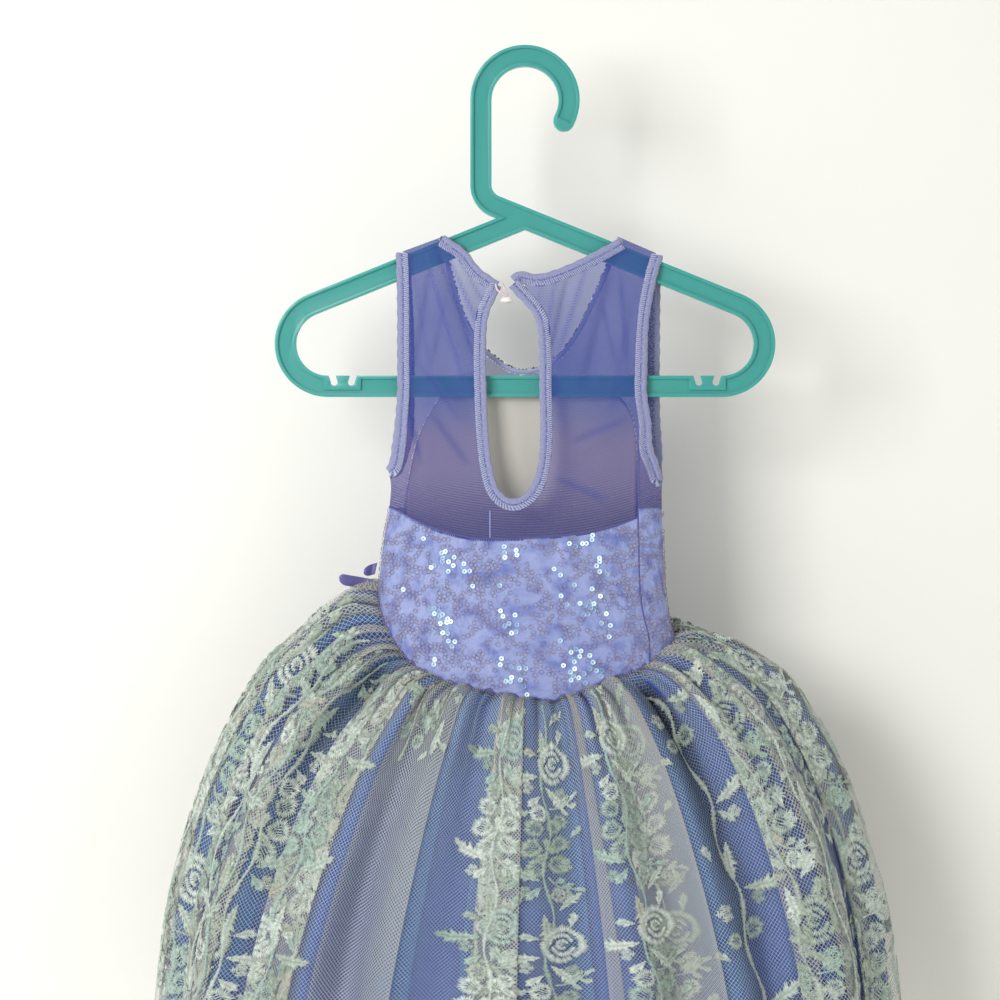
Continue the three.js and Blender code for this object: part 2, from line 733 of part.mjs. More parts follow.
// Strip of knit binding along an edge, from one distance inside it to another. A margin
// makes it larger on every side, as the room that its neighbours leave for it.
function stripSolid(strip, margin = 0) {
  const near = (strip.from ?? 0) - margin;
  const far = strip.to + margin;
  const xOf = strip.xOf ?? ((point) => point.x);
  const lines = [near, (near + far) / 2, far].map((distance) => {
    const line = belowShoulder(besideLine(strip.edge, -distance), xOf);
    return stations(line, strip.rollStart, strip.rollEnd, strip.count).map(strip.place);
  });
  const grid = lines[0].map((_, i) => lines.map((line) => line[i]));
  const thickness = strip.thickness + 2 * margin;
  return solid(wall(grid, { lift: (thickness - MESH_WALL) / 2, thickness }));
}

// Rectangle in x and z as a closed outline.
function rectangle(fromX, toX, fromZ, toZ) {
  return [corner(fromX, fromZ), corner(toX, fromZ), corner(toX, toZ), corner(fromX, toZ)];
}

const wholeFace = rectangle(-FAR_X, FAR_X, FAR_BELOW, 0);
const aboveUnderarm = rectangle(-FAR_X, FAR_X, UNDERARM_Z, 0);
const shoulderSeam = solid(prism(aboveUnderarm, -SEAM_GAP / 2, SEAM_GAP / 2));

// ---------------------------------------------------------------- mesh yokes

const leftArmhole = armholeLine(ARMHOLE_LEFT, 22);
const rightArmhole = armholeLine(ARMHOLE_RIGHT, 22);
const backNeckLeft = smoothEdge(BACK_NECK_LEFT, 9);
const backNeckRight = smoothEdge(BACK_NECK_RIGHT, 12);
const keyhole = smoothEdge(KEYHOLE, 26);
const frontNeck = smoothEdge(FRONT_NECK, 16);
const yokeSeamZ = (x) => tableValue(YOKE_SEAM, "x", "z", x);
const sideSeamX = bodicePoint(RIGHT_SEAM_TURN, FRONT_SEAM_Z).x - 2 * SEAM_GAP;
const yokeSeam = spread(YOKE_SEAM[0].x, sideSeamX, 18).map((x) => corner(x, yokeSeamZ(x)));

const onBack = (point) => bodiceAt(point.x, point.y, -1);
const onFront = (point) => bodiceAt(point.x, point.y, 1);
const full = { to: BINDING_WIDTH, thickness: BINDING_WALL };

const neckStrips = [
  { ...full, edge: backNeckLeft, count: 6, rollStart: true, rollEnd: false, place: onBack },
  { ...full, edge: backNeckRight, count: 8, rollStart: false, rollEnd: true, place: onBack },
];
const keyholeStrip = {
  ...full, edge: keyhole, count: 24, rollStart: false, rollEnd: false, place: onBack,
};
const armholeStrips = [[leftArmhole, -1], [rightArmhole, 1]].map(([edge, end]) => {
  const place = (point) => armholePoint(point.x, point.y, end);
  const xOf = (point) => place(point).x;
  return { ...full, edge, count: 16, rollStart: true, rollEnd: true, xOf, place };
});
const frontStrip = {
  from: TRIM_WIDTH + SEAM_GAP,
  to: TRIM_WIDTH + SEAM_GAP + FRONT_BINDING_WIDTH,
  thickness: BINDING_WALL,
  edge: frontNeck,
  count: 14,
  rollStart: true,
  rollEnd: true,
  place: onFront,
};

// Region above the back neckline, its edge moved into the cloth by a margin.
function aboveBackNeck(margin) {
  const left = besideLine(backNeckLeft, -margin);
  const right = besideLine(backNeckRight, -margin);
  const closureX = (left[left.length - 1].x + right[0].x) / 2;
  const closure = corner(closureX, CLOSURE_Z);
  const outline = [corner(left[0].x, 0), ...left, closure, ...right, corner(right.at(-1).x, 0)];
  return prism(outline, -FAR_Y, PAST_MIDDLE);
}

// A panel of mesh, cut to its openings, with room for the strips along them.
function cutPanel(facing, openings, strips) {
  let body = solid(wall(panelGrid(facing), { thickness: MESH_WALL }));
  for (const opening of openings) body = body.subtract(solid(opening));
  for (const [edge, end] of [[leftArmhole, -1], [rightArmhole, 1]]) {
    body = body.subtract(armholeCutter(besideLine(edge, -BINDING_WIDTH / 2), end, facing));
  }
  for (const strip of strips) body = body.subtract(stripSolid(strip, SEAM_GAP));
  const atSeams = facing < 0
    ? prism(wholeFace, -SEAM_GAP / 2, PAST_MIDDLE)
    : prism(wholeFace, -PAST_MIDDLE, SEAM_GAP / 2);
  return body.subtract(solid(atSeams));
}

function backYoke() {
  const open = besideLine(keyhole, -BINDING_WIDTH / 2);
  const middleX = (keyhole[0].x + keyhole[keyhole.length - 1].x) / 2;
  const belowSeam = [
    ...yokeSeam.map((point) => corner(point.x, point.y + SEAM_GAP)),
    corner(sideSeamX, FRONT_SEAM_Z + SEAM_GAP),
    corner(FAR_X, FRONT_SEAM_Z + SEAM_GAP),
    corner(FAR_X, FAR_BELOW),
    corner(yokeSeam[0].x, FAR_BELOW),
  ];
  const openings = [
    aboveBackNeck(BINDING_WIDTH / 2),
    prism([...open, corner(middleX, KEYHOLE_TOP_Z)], -FAR_Y, PAST_MIDDLE),
    prism(belowSeam, -FAR_Y, PAST_MIDDLE),
  ];
  return cutPanel(-1, openings, [...neckStrips, keyholeStrip, ...armholeStrips]);
}

function frontYoke() {
  const neck = besideLine(frontNeck, -TRIM_WIDTH - FRONT_BINDING_WIDTH / 2);
  const bib = besideLine(smoothEdge(BIB, 18), SEAM_GAP);
  const belowSeam = [
    corner(-FAR_X, FRONT_SEAM_Z + SEAM_GAP),
    corner(bib[0].x, FRONT_SEAM_Z + SEAM_GAP),
    ...bib,
    corner(bib[bib.length - 1].x, FRONT_SEAM_Z + SEAM_GAP),
    corner(FAR_X, FRONT_SEAM_Z + SEAM_GAP),
    corner(FAR_X, FAR_BELOW),
    corner(-FAR_X, FAR_BELOW),
  ];
  const openings = [
    prism([corner(neck[0].x, 0), ...neck, corner(neck.at(-1).x, 0)], -PAST_MIDDLE, FAR_Y),
    prism(belowSeam, -PAST_MIDDLE, FAR_Y),
  ];
  return cutPanel(1, openings, [frontStrip, ...armholeStrips]);
}

// The back yoke is two halves, parted by the opening and by the short seam below it.
const back = backYoke();
for (const [name, fromX, toX] of [
  ["back_yoke_left", -FAR_X, BACK_SEAM_X - SEAM_GAP / 2],
  ["back_yoke_right", BACK_SEAM_X + SEAM_GAP / 2, FAR_X],
]) {
  const half = solid(prism(rectangle(fromX, toX, FAR_BELOW, 0), -FAR_Y, PAST_MIDDLE));
  add(name, geometryOf(withoutOffcuts(back.intersect(half))), COLOURS.mesh);
}
add("front_yoke", geometryOf(withoutOffcuts(frontYoke())), COLOURS.mesh);

// ---------------------------------------------------------------- bindings

const sewn = (strip) => stripSolid(strip).subtract(shoulderSeam);

add("back_neck_binding_left", geometryOf(sewn(neckStrips[0])), COLOURS.binding);
add("back_neck_binding_right", geometryOf(sewn(neckStrips[1])), COLOURS.binding);

// The keyhole's binding stops under the neck bindings at the closure.
const underNeck = sewn(keyholeStrip).subtract(solid(aboveBackNeck(BINDING_WIDTH + SEAM_GAP)));
add("keyhole_binding", geometryOf(underNeck), COLOURS.binding);

add("armhole_binding_left", geometryOf(sewn(armholeStrips[0])), COLOURS.binding);
add("armhole_binding_right", geometryOf(sewn(armholeStrips[1])), COLOURS.binding);
add("front_neck_binding", geometryOf(sewn(frontStrip)), COLOURS.binding);

// Narrow row of glitter beads along the very edge of the front neckline.
const trimStrip = { ...frontStrip, from: 0, to: TRIM_WIDTH, thickness: TRIM_WALL };
add("front_neck_trim", geometryOf(sewn(trimStrip)), COLOURS.trim, 0.4);

// ---------------------------------------------------------------- sequin bodice and lining

const waistZ = (turn) => {
  const wrapped = turn > 180 ? turn - 360 : turn;
  return tableValue(WAIST, "turn", "z", wrapped);
};

// Level of the seam above the sequin cloth at a turn, found by following the side's x.
function sequinTopZ(turn) {
  const onBackFace = Math.cos(degrees(turn)) > 0;
  if (!onBackFace || turn > RIGHT_SEAM_TURN) return FRONT_SEAM_Z;
  let z = FRONT_SEAM_Z;
  for (let pass = 0; pass < 4; pass += 1) z = yokeSeamZ(bodicePoint(turn, z).x);
  return z;
}

function sequinGrid(turns, levels) {
  return turns.map((turn) => {
    const top = sequinTopZ(turn);
    const foot = waistZ(turn);
    return levels.map((share) => bodicePoint(turn, foot + (top - foot) * share));
  });
}

// Turn that moves a point of the side seam by the gap left at a seam. The wall's ends lean
// with its normals, so each side gives up a little more than half the gap.
const SIDE_GAP = 1.4 * SEAM_GAP;
function gapTurn(turn) {
  const before = bodicePoint(turn - 0.5, FRONT_SEAM_Z);
  return SIDE_GAP / bodicePoint(turn + 0.5, FRONT_SEAM_Z).distanceTo(before);
}

const bandFrom = LEFT_SEAM_TURN + gapTurn(LEFT_SEAM_TURN);
const bandTo = RIGHT_SEAM_TURN - gapTurn(RIGHT_SEAM_TURN);
const bandTurns = spread(bandFrom, bandTo, 20);
const bandLevels = spread(0, 1, 4);
const bandGrid = sequinGrid(bandTurns, bandLevels);
add("back_band", wall(bandGrid, { thickness: SEQUIN_WALL }), COLOURS.sequin, 0.5);

// The front bodice is one piece from the waist to the bib's top, cut away beside the bib.
function frontBodice() {
  const from = RIGHT_SEAM_TURN + gapTurn(RIGHT_SEAM_TURN);
  const turns = spread(from, 360 + LEFT_SEAM_TURN - gapTurn(LEFT_SEAM_TURN), 18);
  const upper = spread(FRONT_SEAM_Z, BIB_TOP_Z + BIB_SPARE, 4).slice(1);
  const grid = sequinGrid(turns, bandLevels).map((column, i) => [
    ...column,
    ...upper.map((z) => bodicePoint(turns[i], z)),
  ]);
  const body = solid(wall(grid, { thickness: SEQUIN_WALL }));
  return body.subtract(besideBib(0));
}

// Everything above the front seam except the bib, whose edge is moved in by a margin.
function besideBib(margin) {
  const bib = besideLine(smoothEdge(BIB, 18), -margin);
  const footZ = FRONT_SEAM_Z - PAST_MIDDLE;
  const outline = [corner(bib[0].x, footZ), ...bib, corner(bib.at(-1).x, footZ)];
  const above = rectangle(-FAR_X, FAR_X, FRONT_SEAM_Z, 0);
  return solid(prism(above, -FAR_Y, FAR_Y)).subtract(solid(prism(outline, 0, FAR_Y + 1)));
}
add("front_bodice", geometryOf(frontBodice()), COLOURS.sequin, 0.5);

function frontLining() {
  const levels = spread(LINING_FOOT_Z, BIB_TOP_Z + BIB_SPARE, 5);
  const across = spread(BIB[0].x + 1, BIB[BIB.length - 1].x - 1, 10);
  const grid = across.map((x) => levels.map((z) => bodiceAt(x, z, 1)));
  const lift = -SEQUIN_WALL - 2 * SEAM_GAP;
  return solid(wall(grid, { lift, thickness: LINING_WALL })).subtract(besideBib(1));
}
add("front_lining", geometryOf(frontLining()), COLOURS.lining);

// ---------------------------------------------------------------- skirt

// All folds round the skirt in order of their turn.
function foldRows() {
  const rows = BACK_FOLDS.map((row) => ({ turn: turnOf(row.across), out: row.out }));
  const from = rows[rows.length - 1].turn;
  const to = rows[0].turn + 360;
  for (let i = 1; i <= FRONT_FOLD_COUNT; i += 1) {
    const turn = from + (to - from) * i / (FRONT_FOLD_COUNT + 1);
    rows.push({ turn, out: FRONT_FOLD_OUT[i % FRONT_FOLD_OUT.length] * (i % 2 ? 1 : -1) });
  }
  return rows;
}

// Turns of the skirt's columns, each with how far its fold stands out at the hem.
function skirtColumns() {
  const rows = foldRows();
  const columns = [];
  rows.forEach((row, i) => {
    const next = rows[(i + 1) % rows.length];
    const nextTurn = i + 1 < rows.length ? next.turn : next.turn + 360;
    for (let step = 0; step < FOLD_STEPS; step += 1) {
      const share = step / FOLD_STEPS;
      const blend = (1 - Math.cos(Math.PI * share)) / 2;
      const turn = row.turn + (nextTurn - row.turn) * share;
      columns.push({ turn, out: row.out + (next.out - row.out) * blend });
    }
  });
  return columns;
}

// Smooth skirt without folds at a turn and one row of its run.
function skirtPoint(turn, row) {
  const start = bodicePoint(turn, waistZ(turn) - 2 * SEAM_GAP);
  const s = signedPower(Math.sin(degrees(turn)), 2 / SQUARENESS);
  const c = signedPower(Math.cos(degrees(turn)), 2 / SQUARENESS);
  const endX = (HEM.left + HEM.right) / 2 + (HEM.right - HEM.left) / 2 * s;
  const endY = -(c > 0 ? HEM.back : HEM.front) * c;
  const sideways = s * s / (s * s + c * c);
  const sideDown = s < 0 ? row.leftDown : row.rightDown;
  const out = row.backOut + (row.sideOut - row.backOut) * sideways;
  const down = row.backDown + (sideDown - row.backDown) * sideways;
  return new THREE.Vector3(
    start.x + (endX - start.x) * out,
    start.y + (endY - start.y) * out,
    start.z + (HEM.z - start.z) * down,
  );
}

function skirtGrid() {
  const columns = skirtColumns();
  const smooth = columns.map((column) => SKIRT_RUN.map((row) => skirtPoint(column.turn, row)));
  const count = columns.length;
  return smooth.map((column, i) => column.map((point, j) => {
    const across = smooth[(i + 1) % count][j].clone().sub(smooth[(i + count - 1) % count][j]);
    const along = column[Math.min(j + 1, column.length - 1)].clone().sub(column[Math.max(j - 1, 0)]);
    const normal = along.cross(across).normalize();
    const run = SKIRT_RUN[j].run;
    normal.z *= 1 - run;
    return point.clone().addScaledVector(normal, columns[i].out * run ** FOLD_GROWTH);
  }));
}

// Number of the skirt's column nearest to a turn.
function columnNear(turn) {
  const gaps = skirtColumns().map((column) => Math.abs(column.turn - turn));
  return gaps.indexOf(Math.min(...gaps));
}

const pleated = skirtGrid();
for (const layer of SKIRT_LAYERS) {
  const last = SKIRT_RUN.length - 1;
  const share = (layer.end - SKIRT_RUN[last - 1].run) / (1 - SKIRT_RUN[last - 1].run);
  const grid = pleated.map((column) => [
    ...column.slice(0, last),
    column[last - 1].clone().lerp(column[last], share),
  ]);
  const lift = (rowShare) => {
    const run = SKIRT_RUN[Math.round(rowShare * last)].run;
    return -(layer.under + (layer.underHem - layer.under) * run);
  };
  const skins = wallSkins(grid, { lift, thickness: layer.wall, ring: true });
  if (!layer.panels) {
    add(layer.name, wallOf(skins, true), layer.colour);
    continue;
  }
  for (const panel of layer.panels) {
    const [from, to] = [panel.from, panel.to].map(columnNear);
    const next = to > from ? to : to + skins.length;
    add(panel.name, wallOf(panelOf(skins, from, next)), layer.colour);
  }
}

// ---------------------------------------------------------------- closure and ribbon

// Domed pearl button, hanging edge-on from its loop.
function pearlButton() {
  const half = BUTTON.height / 2;
  const profile = spread(0, Math.PI, 8).map((angle) =>
    new THREE.Vector2(BUTTON.radius * Math.sin(angle), -half * Math.cos(angle)));
  profile[0].x = 0;
  profile[profile.length - 1].x = 0;
  const geometry = new THREE.LatheGeometry(profile, 14);
  geometry.rotateX(Math.PI / 2);
  geometry.translate(BUTTON.x, BUTTON.y, BUTTON.z);
  return geometry;
}
add("pearl_button", pearlButton(), COLOURS.pearl, 0.2);

// Elastic loop: two strands from the left binding's end down to the button.
function buttonLoop() {
  const endZ = BUTTON.z + BUTTON.height / 2 + LOOP.radius + SEAM_GAP;
  const y = BUTTON.y;
  const points = [
    new THREE.Vector3(LOOP.topX - LOOP.gap, y + 0.4, LOOP.topZ),
    new THREE.Vector3(LOOP.topX - LOOP.gap / 2, y, (LOOP.topZ + endZ) / 2),
    new THREE.Vector3(BUTTON.x - LOOP.gap, y, endZ + 1),
    new THREE.Vector3(BUTTON.x, y, endZ),
    new THREE.Vector3(BUTTON.x, y, endZ + 2),
    new THREE.Vector3(LOOP.topX + LOOP.gap, y, LOOP.topZ),
  ];
  const section = new THREE.Shape().absarc(0, 0, LOOP.radius, 0, 2 * Math.PI, false);
  const path = new THREE.CatmullRomCurve3(points);
  const options = { steps: 14, curveSegments: 3, extrudePath: path, bevelEnabled: false };
  return new THREE.ExtrudeGeometry(section, options);
}
add("button_loop", buttonLoop(), COLOURS.elastic, 0.3);

// Ribbon ends: short flat strips with a rounded tip.
for (const end of RIBBON_ENDS) {
  const half = end.width / 2;
  const shape = new THREE.Shape();
  shape.moveTo(0, -half);
  shape.lineTo(0, half);
  shape.lineTo(half - end.length, half);
  shape.absarc(half - end.length, 0, half, Math.PI / 2, 1.5 * Math.PI, false);
  shape.closePath();
  const options = { depth: RIBBON_WALL, bevelEnabled: false, curveSegments: 5 };
  const geometry = new THREE.ExtrudeGeometry(shape, options);
  geometry.rotateZ(degrees(-end.tilt));
  geometry.rotateX(Math.PI / 2);
  geometry.translate(end.x, end.y, end.z);
  add(end.name, geometry, COLOURS.ribbon);
}

export default group;
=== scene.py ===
from contextlib import contextmanager

import bmesh
import bpy
import numpy as np
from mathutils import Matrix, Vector


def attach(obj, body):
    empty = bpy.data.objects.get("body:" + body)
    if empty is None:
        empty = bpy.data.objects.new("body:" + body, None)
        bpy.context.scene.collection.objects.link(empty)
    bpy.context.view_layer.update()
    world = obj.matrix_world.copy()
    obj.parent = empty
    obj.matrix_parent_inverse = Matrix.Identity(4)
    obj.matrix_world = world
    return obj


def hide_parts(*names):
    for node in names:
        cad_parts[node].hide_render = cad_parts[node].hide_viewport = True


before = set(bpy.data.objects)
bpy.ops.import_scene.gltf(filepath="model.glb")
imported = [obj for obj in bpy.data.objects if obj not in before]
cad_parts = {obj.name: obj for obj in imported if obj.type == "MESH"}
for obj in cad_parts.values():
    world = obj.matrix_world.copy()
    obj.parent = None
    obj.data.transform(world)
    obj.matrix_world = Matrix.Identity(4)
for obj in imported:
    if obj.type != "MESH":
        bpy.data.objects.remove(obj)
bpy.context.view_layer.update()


# ---------------------------------------------------------------- studio
# A pale seamless paper sweep hangs behind the costume and runs out under it as the floor.
# A large soft key light stands at the upper left, a weak fill at the right, and the
# camera looks level at the costume's back.

VIEW_WIDTH = 0.66
VIEW_CENTRE = (-0.0165, -0.286)
CAMERA_DISTANCE = 1.9
SENSOR = 36
PAPER_Y = 0.118
PAPER_BEND = 0.12
PAPER_REACH = 4.0
PAPER_TOP = 2.5
FLOOR_Z = -0.74
PAPER_COLOUR = "#f0efea"


def linear(colour):
    """Linear RGBA of an sRGB hex colour: the sRGB curve undone for each channel."""
    share = np.array([int(colour[i:i + 2], 16) for i in (1, 3, 5)]) / 255
    bright = ((share + 0.055) / 1.055) ** 2.4
    return (*np.where(share <= 0.04045, share / 12.92, bright), 1.0)


def add_node(material, kind, inputs=None, **settings):
    """Adds a shader node. An input is a value for its socket, a hex colour, another node
    (its first output in use) or one output of another node."""
    node = material.node_tree.nodes.new("ShaderNode" + kind)
    for name, value in settings.items():
        setattr(node, name, value)
    for name, value in (inputs or {}).items():
        socket = node.inputs[name]
        if isinstance(value, bpy.types.Node):
            value = next(output for output in value.outputs if output.enabled)
        if isinstance(value, bpy.types.NodeSocket):
            material.node_tree.links.new(value, socket)
        else:
            socket.default_value = linear(value) if isinstance(value, str) else value
    return node


def new_material(name):
    """An empty node material and nothing else."""
    material = bpy.data.materials.new(name)
    material.use_nodes = True
    material.node_tree.nodes.clear()
    return material


def finish_material(material, surface):
    """Leads a shader to the material's output."""
    add_node(material, "OutputMaterial", {"Surface": surface})
    return material


def in_scene(thing):
    """Links an object to the scene."""
    bpy.context.scene.collection.objects.link(thing)
    return thing


def put_mesh(name, points, quads, uv=None, scale=0.001, **values):
    """Makes a piece from points in millimetres and four-cornered faces, smooth shaded.
    Points that no face uses are dropped. uv gives each point's place on the flat cloth,
    and each of the values gives a number for each point under its name."""
    used, quads = np.unique(quads, return_inverse=True)
    quads = quads.reshape(-1, 4)
    points = np.reshape(points, (-1, 3))[used]
    mesh = bpy.data.meshes.new(name)
    mesh.vertices.add(len(points))
    mesh.vertices.foreach_set("co", (points * scale).ravel())
    mesh.loops.add(quads.size)
    mesh.loops.foreach_set("vertex_index", quads.ravel())
    mesh.polygons.add(len(quads))
    mesh.polygons.foreach_set("loop_start", np.arange(0, quads.size, 4))
    mesh.polygons.foreach_set("use_smooth", np.ones(len(quads), bool))
    mesh.update(calc_edges=True)
    if uv is not None:
        layer = mesh.uv_layers.new(name="cloth")
        corners = np.reshape(uv, (-1, 2))[used][quads.ravel()]
        layer.data.foreach_set("uv", (corners * scale).ravel())
    for label, numbers in values.items():
        attribute = mesh.attributes.new(label, "FLOAT", "POINT")
        attribute.data.foreach_set("value", np.ravel(numbers)[used])
    return in_scene(bpy.data.objects.new(name, mesh))


def grid_quads(columns, rows, ring=False, tube=False, keep=None):
    """Faces of a grid whose point (i, j) has the number i * rows + j. A ring closes along
    i and a tube along j. keep marks the points whose faces stay."""
    i, j = np.meshgrid(
        np.arange(columns if ring else columns - 1),
        np.arange(rows if tube else rows - 1),
        indexing="ij",
    )
    i, j = i.ravel(), j.ravel()
    nxt_i, nxt_j = (i + 1) % columns, (j + 1) % rows
    quads = np.stack([i * rows + j, nxt_i * rows + j, nxt_i * rows + nxt_j, i * rows + nxt_j], 1)
    if keep is not None:
        quads = quads[keep.ravel()[quads].all(1)]
    return quads


def paper_sweep():
    """Wall, quarter round and floor: a profile in y and z carried along X."""
    round_turn = np.linspace(0, np.pi / 2, 16)
    y = [PAPER_Y, *(PAPER_Y - PAPER_BEND * (1 - np.cos(round_turn))), -PAPER_REACH]
    z = [PAPER_TOP, *(FLOOR_Z + PAPER_BEND * (1 - np.sin(round_turn))), FLOOR_Z]
    x, y = np.meshgrid([-PAPER_REACH, PAPER_REACH], y, indexing="ij")
    points = np.stack([x, y, np.broadcast_to(z, x.shape)], -1)
    return put_mesh("paper_sweep", points, grid_quads(2, len(z))[:, ::-1], scale=1)


# Matt paper, seen from its front only, so that the costume shows from behind it too.
paper = new_material("matt_paper")
paper_front = add_node(paper, "BsdfDiffuse", {"Color": PAPER_COLOUR})
paper_back = add_node(paper, "BsdfTransparent")
paper_side = add_node(paper, "NewGeometry").outputs["Backfacing"]
finish_material(paper, add_node(paper, "MixShader", {0: paper_side, 1: paper_front, 2: paper_back}))
sweep = paper_sweep()
sweep.data.materials.append(paper)


def soft_light(name, place, aim, size, watts):
    """Square area light that faces a point."""
    light = bpy.data.lights.new(name, "AREA")
    light.energy, light.size = watts, size
    lamp = in_scene(bpy.data.objects.new(name, light))
    lamp.location = place
    lamp.rotation_mode = "QUATERNION"
    lamp.rotation_quaternion = (Vector(aim) - Vector(place)).to_track_quat("-Z", "Y")


LIGHT_AIM = (0, 0, -0.3)
soft_light("key_light", (-1.0, -1.6, 0.1), LIGHT_AIM, 0.8, 25)
soft_light("fill_light", (1.5, -1.4, -0.1), LIGHT_AIM, 1.4, 4)
soft_light("back_light", (0.3, 1.6, 0.9), LIGHT_AIM, 1.2, 4)

world = bpy.data.worlds.new("studio_air")
world.use_nodes = True
world.node_tree.nodes["Background"].inputs[0].default_value = (0.9, 0.9, 0.88, 1)
world.node_tree.nodes["Background"].inputs[1].default_value = 0.6
bpy.context.scene.world = world
bpy.context.scene.view_settings.view_transform = "Standard"
bpy.context.scene.cycles.transparent_max_bounces = 24

camera = in_scene(bpy.data.objects.new("camera", bpy.data.cameras.new("camera")))
camera.location = (VIEW_CENTRE[0], -CAMERA_DISTANCE, VIEW_CENTRE[1])
camera.rotation_euler = (np.pi / 2, 0, 0)
camera.data.sensor_width = SENSOR
camera.data.lens = SENSOR * CAMERA_DISTANCE / VIEW_WIDTH
bpy.context.scene.camera = camera


# ---------------------------------------------------------------- hanger
# One moulding of teal polypropylene: a flat bar with a rib along both edges and a
# recessed web, bent to a hook, two arms and a trouser bar with strap notches.

HANGER_COLOUR = "#3f9a94"
HANGER_EDGE = 0.0007


@contextmanager
def edited(mesh):
    """Opens a mesh for changes and writes them back to it."""
    work = bmesh.new()
    work.from_mesh(mesh)
    yield work
    work.to_mesh(mesh)
    work.free()


def moulded_copy(node_name, name, edge):
    """A copy of a solid with its flat faces made whole and its edges rounded."""
    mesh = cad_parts[node_name].data.copy()
    mesh.name = name
    with edited(mesh) as work:
        bmesh.ops.remove_doubles(work, verts=work.verts, dist=1e-6)
        bmesh.ops.dissolve_limit(work, angle_limit=0.02, verts=work.verts, edges=work.edges)
    mesh.materials.clear()
    mesh.polygons.foreach_set("use_smooth", np.ones(len(mesh.polygons), bool))
    piece = in_scene(bpy.data.objects.new(name, mesh))
    bevel = piece.modifiers.new("moulded_edge", "BEVEL")
    bevel.width, bevel.segments, bevel.limit_method = edge, 3, "ANGLE"
    bevel.angle_limit, bevel.harden_normals = np.radians(40), True
    return piece


# Moulded polypropylene: smooth, glossy and a little translucent, so that its thin web
# looks milky and its ribs darker.
plastic = new_material("moulded_polypropylene")
plastic_at = add_node(plastic, "TexCoord").outputs["Object"]
plastic_noise = add_node(plastic, "TexNoise", {"Vector": plastic_at, "Scale": 45.0, "Detail": 2.0})
plastic_bump = add_node(plastic, "Bump", {
    "Height": plastic_noise, "Strength": 0.06, "Distance": 0.001})
finish_material(plastic, add_node(plastic, "BsdfPrincipled", {
    "Base Color": HANGER_COLOUR, "Roughness": 0.3, "IOR": 1.49, "Subsurface Weight": 0.5,
    "Subsurface Radius": (0.002, 0.005, 0.005), "Subsurface Scale": 1.0, "Normal": plastic_bump}))

hanger = moulded_copy("hanger", "hanger_moulding", HANGER_EDGE)
hanger.data.materials.append(plastic)
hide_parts("hanger")
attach(hanger, "root")


# ---------------------------------------------------------------- mesh yokes
# The upper back and front are one layer of sheer four-way-stretch power mesh, cut to the
# neck, the keyhole and the armholes and sewn to the sequin cloth below. It is hung by its
# shoulders over the hanger's arms, so soft drag lines run from the neck to the keyhole.

# Hollow form of the bodice, level by level.
BODICE = np.array([
    # z, left, right, back, front
    (-90, -104, 104, 7.6, 7.6),
    (-160, -104, 104, 8.4, 8.4),
    (-211, -104, 104, 9.6, 9.6),
    (-236, -101.5, 102.5, 10.6, 10.6),
    (-262, -91.6, 93, 12, 12),
    (-275, -88.6, 90.4, 12.8, 12.8),
    (-291, -89.6, 90.4, 13.8, 13.6),
    (-312, -93.1, 91.1, 15.6, 15),
    (-345, -96.4, 92.4, 18.5, 17.5),
    (-362, -94.6, 94.8, 20, 18.5),
    (-378, -91.4, 98.4, 21.5, 19.5),
    (-420, -91.4, 98.4, 24, 21),
])
SQUARENESS = 2.4
SHOULDER_ROLL = 6
# Shoulder line over each arm: x, z and slope.
SHOULDERS = [(-84.7, -123.4, 0.373), (61.1, -112, -0.432)]

BACK_NECK_LEFT = [(-63, -104), (-51.5, -113.2), (-38.9, -122.4), (-29.7, -134), (-17, -142.9)]
BACK_NECK_RIGHT = [(-9.6, -139.6), (-3.6, -135.8), (9.9, -137.6), (29.7, -131), (54.8, -118.2),
                   (72, -107.5)]
KEYHOLE = [
    (-18.6, -151.4), (-24.6, -166), (-26, -188), (-25.6, -213), (-24.4, -240),
    (-22.2, -262), (-17.4, -279), (-7.9, -285.4), (2.4, -279.4), (8.4, -264),
    (10.2, -240), (9.6, -213), (9.4, -185), (6.4, -166), (-5.6, -151.4),
]
FRONT_NECK = [
    (-56.5, -100), (-52.4, -118), (-46.5, -143), (-38.2, -168), (-24, -187.4), (-4, -199.6),
    (17, -194), (33, -176), (46, -150), (57, -124), (64, -103),
]
# Armhole edges: how far inside the bodice's side, negative on the back, and the level.
ARMHOLE_LEFT = [
    (-18.6, -108), (-19.2, -123.6), (-19.8, -140), (-20.2, -180), (-20, -215), (-16, -236),
    (-8, -252), (-2, -262), (2, -263), (10, -252), (20, -236), (23, -215), (23, -180),
    (21, -140), (19.2, -123.6), (18.6, -108),
]
ARMHOLE_RIGHT = [
    (-9.6, -108), (-13.4, -125.6), (-17.6, -140), (-22.6, -167), (-24, -195), (-23.6, -220),
    (-16.2, -246), (-5.4, -262), (-0.8, -270.4), (1, -269), (4.5, -256), (13, -236),
    (15, -215), (15, -180), (14.4, -140), (13.4, -125.6), (12.6, -108),
]
YOKE_SEAM = np.array([
    (-120, -283), (-89.4, -290.7), (-66, -302), (-42.9, -309.2), (-25, -311.5),
    (9.9, -310.5), (36.3, -307.9), (56.1, -303.9), (75, -297),
])
FRONT_SEAM_Z = -291
BACK_SEAM_X = -23
SIDE_SEAM_X = 74.6
BIB = [(-80, -289), (-77, -272), (-71, -246), (-60, -224), (-44, -208), (-4, -211),
       (40, -208), (66, -221), (73.5, -246), (75, -289)]

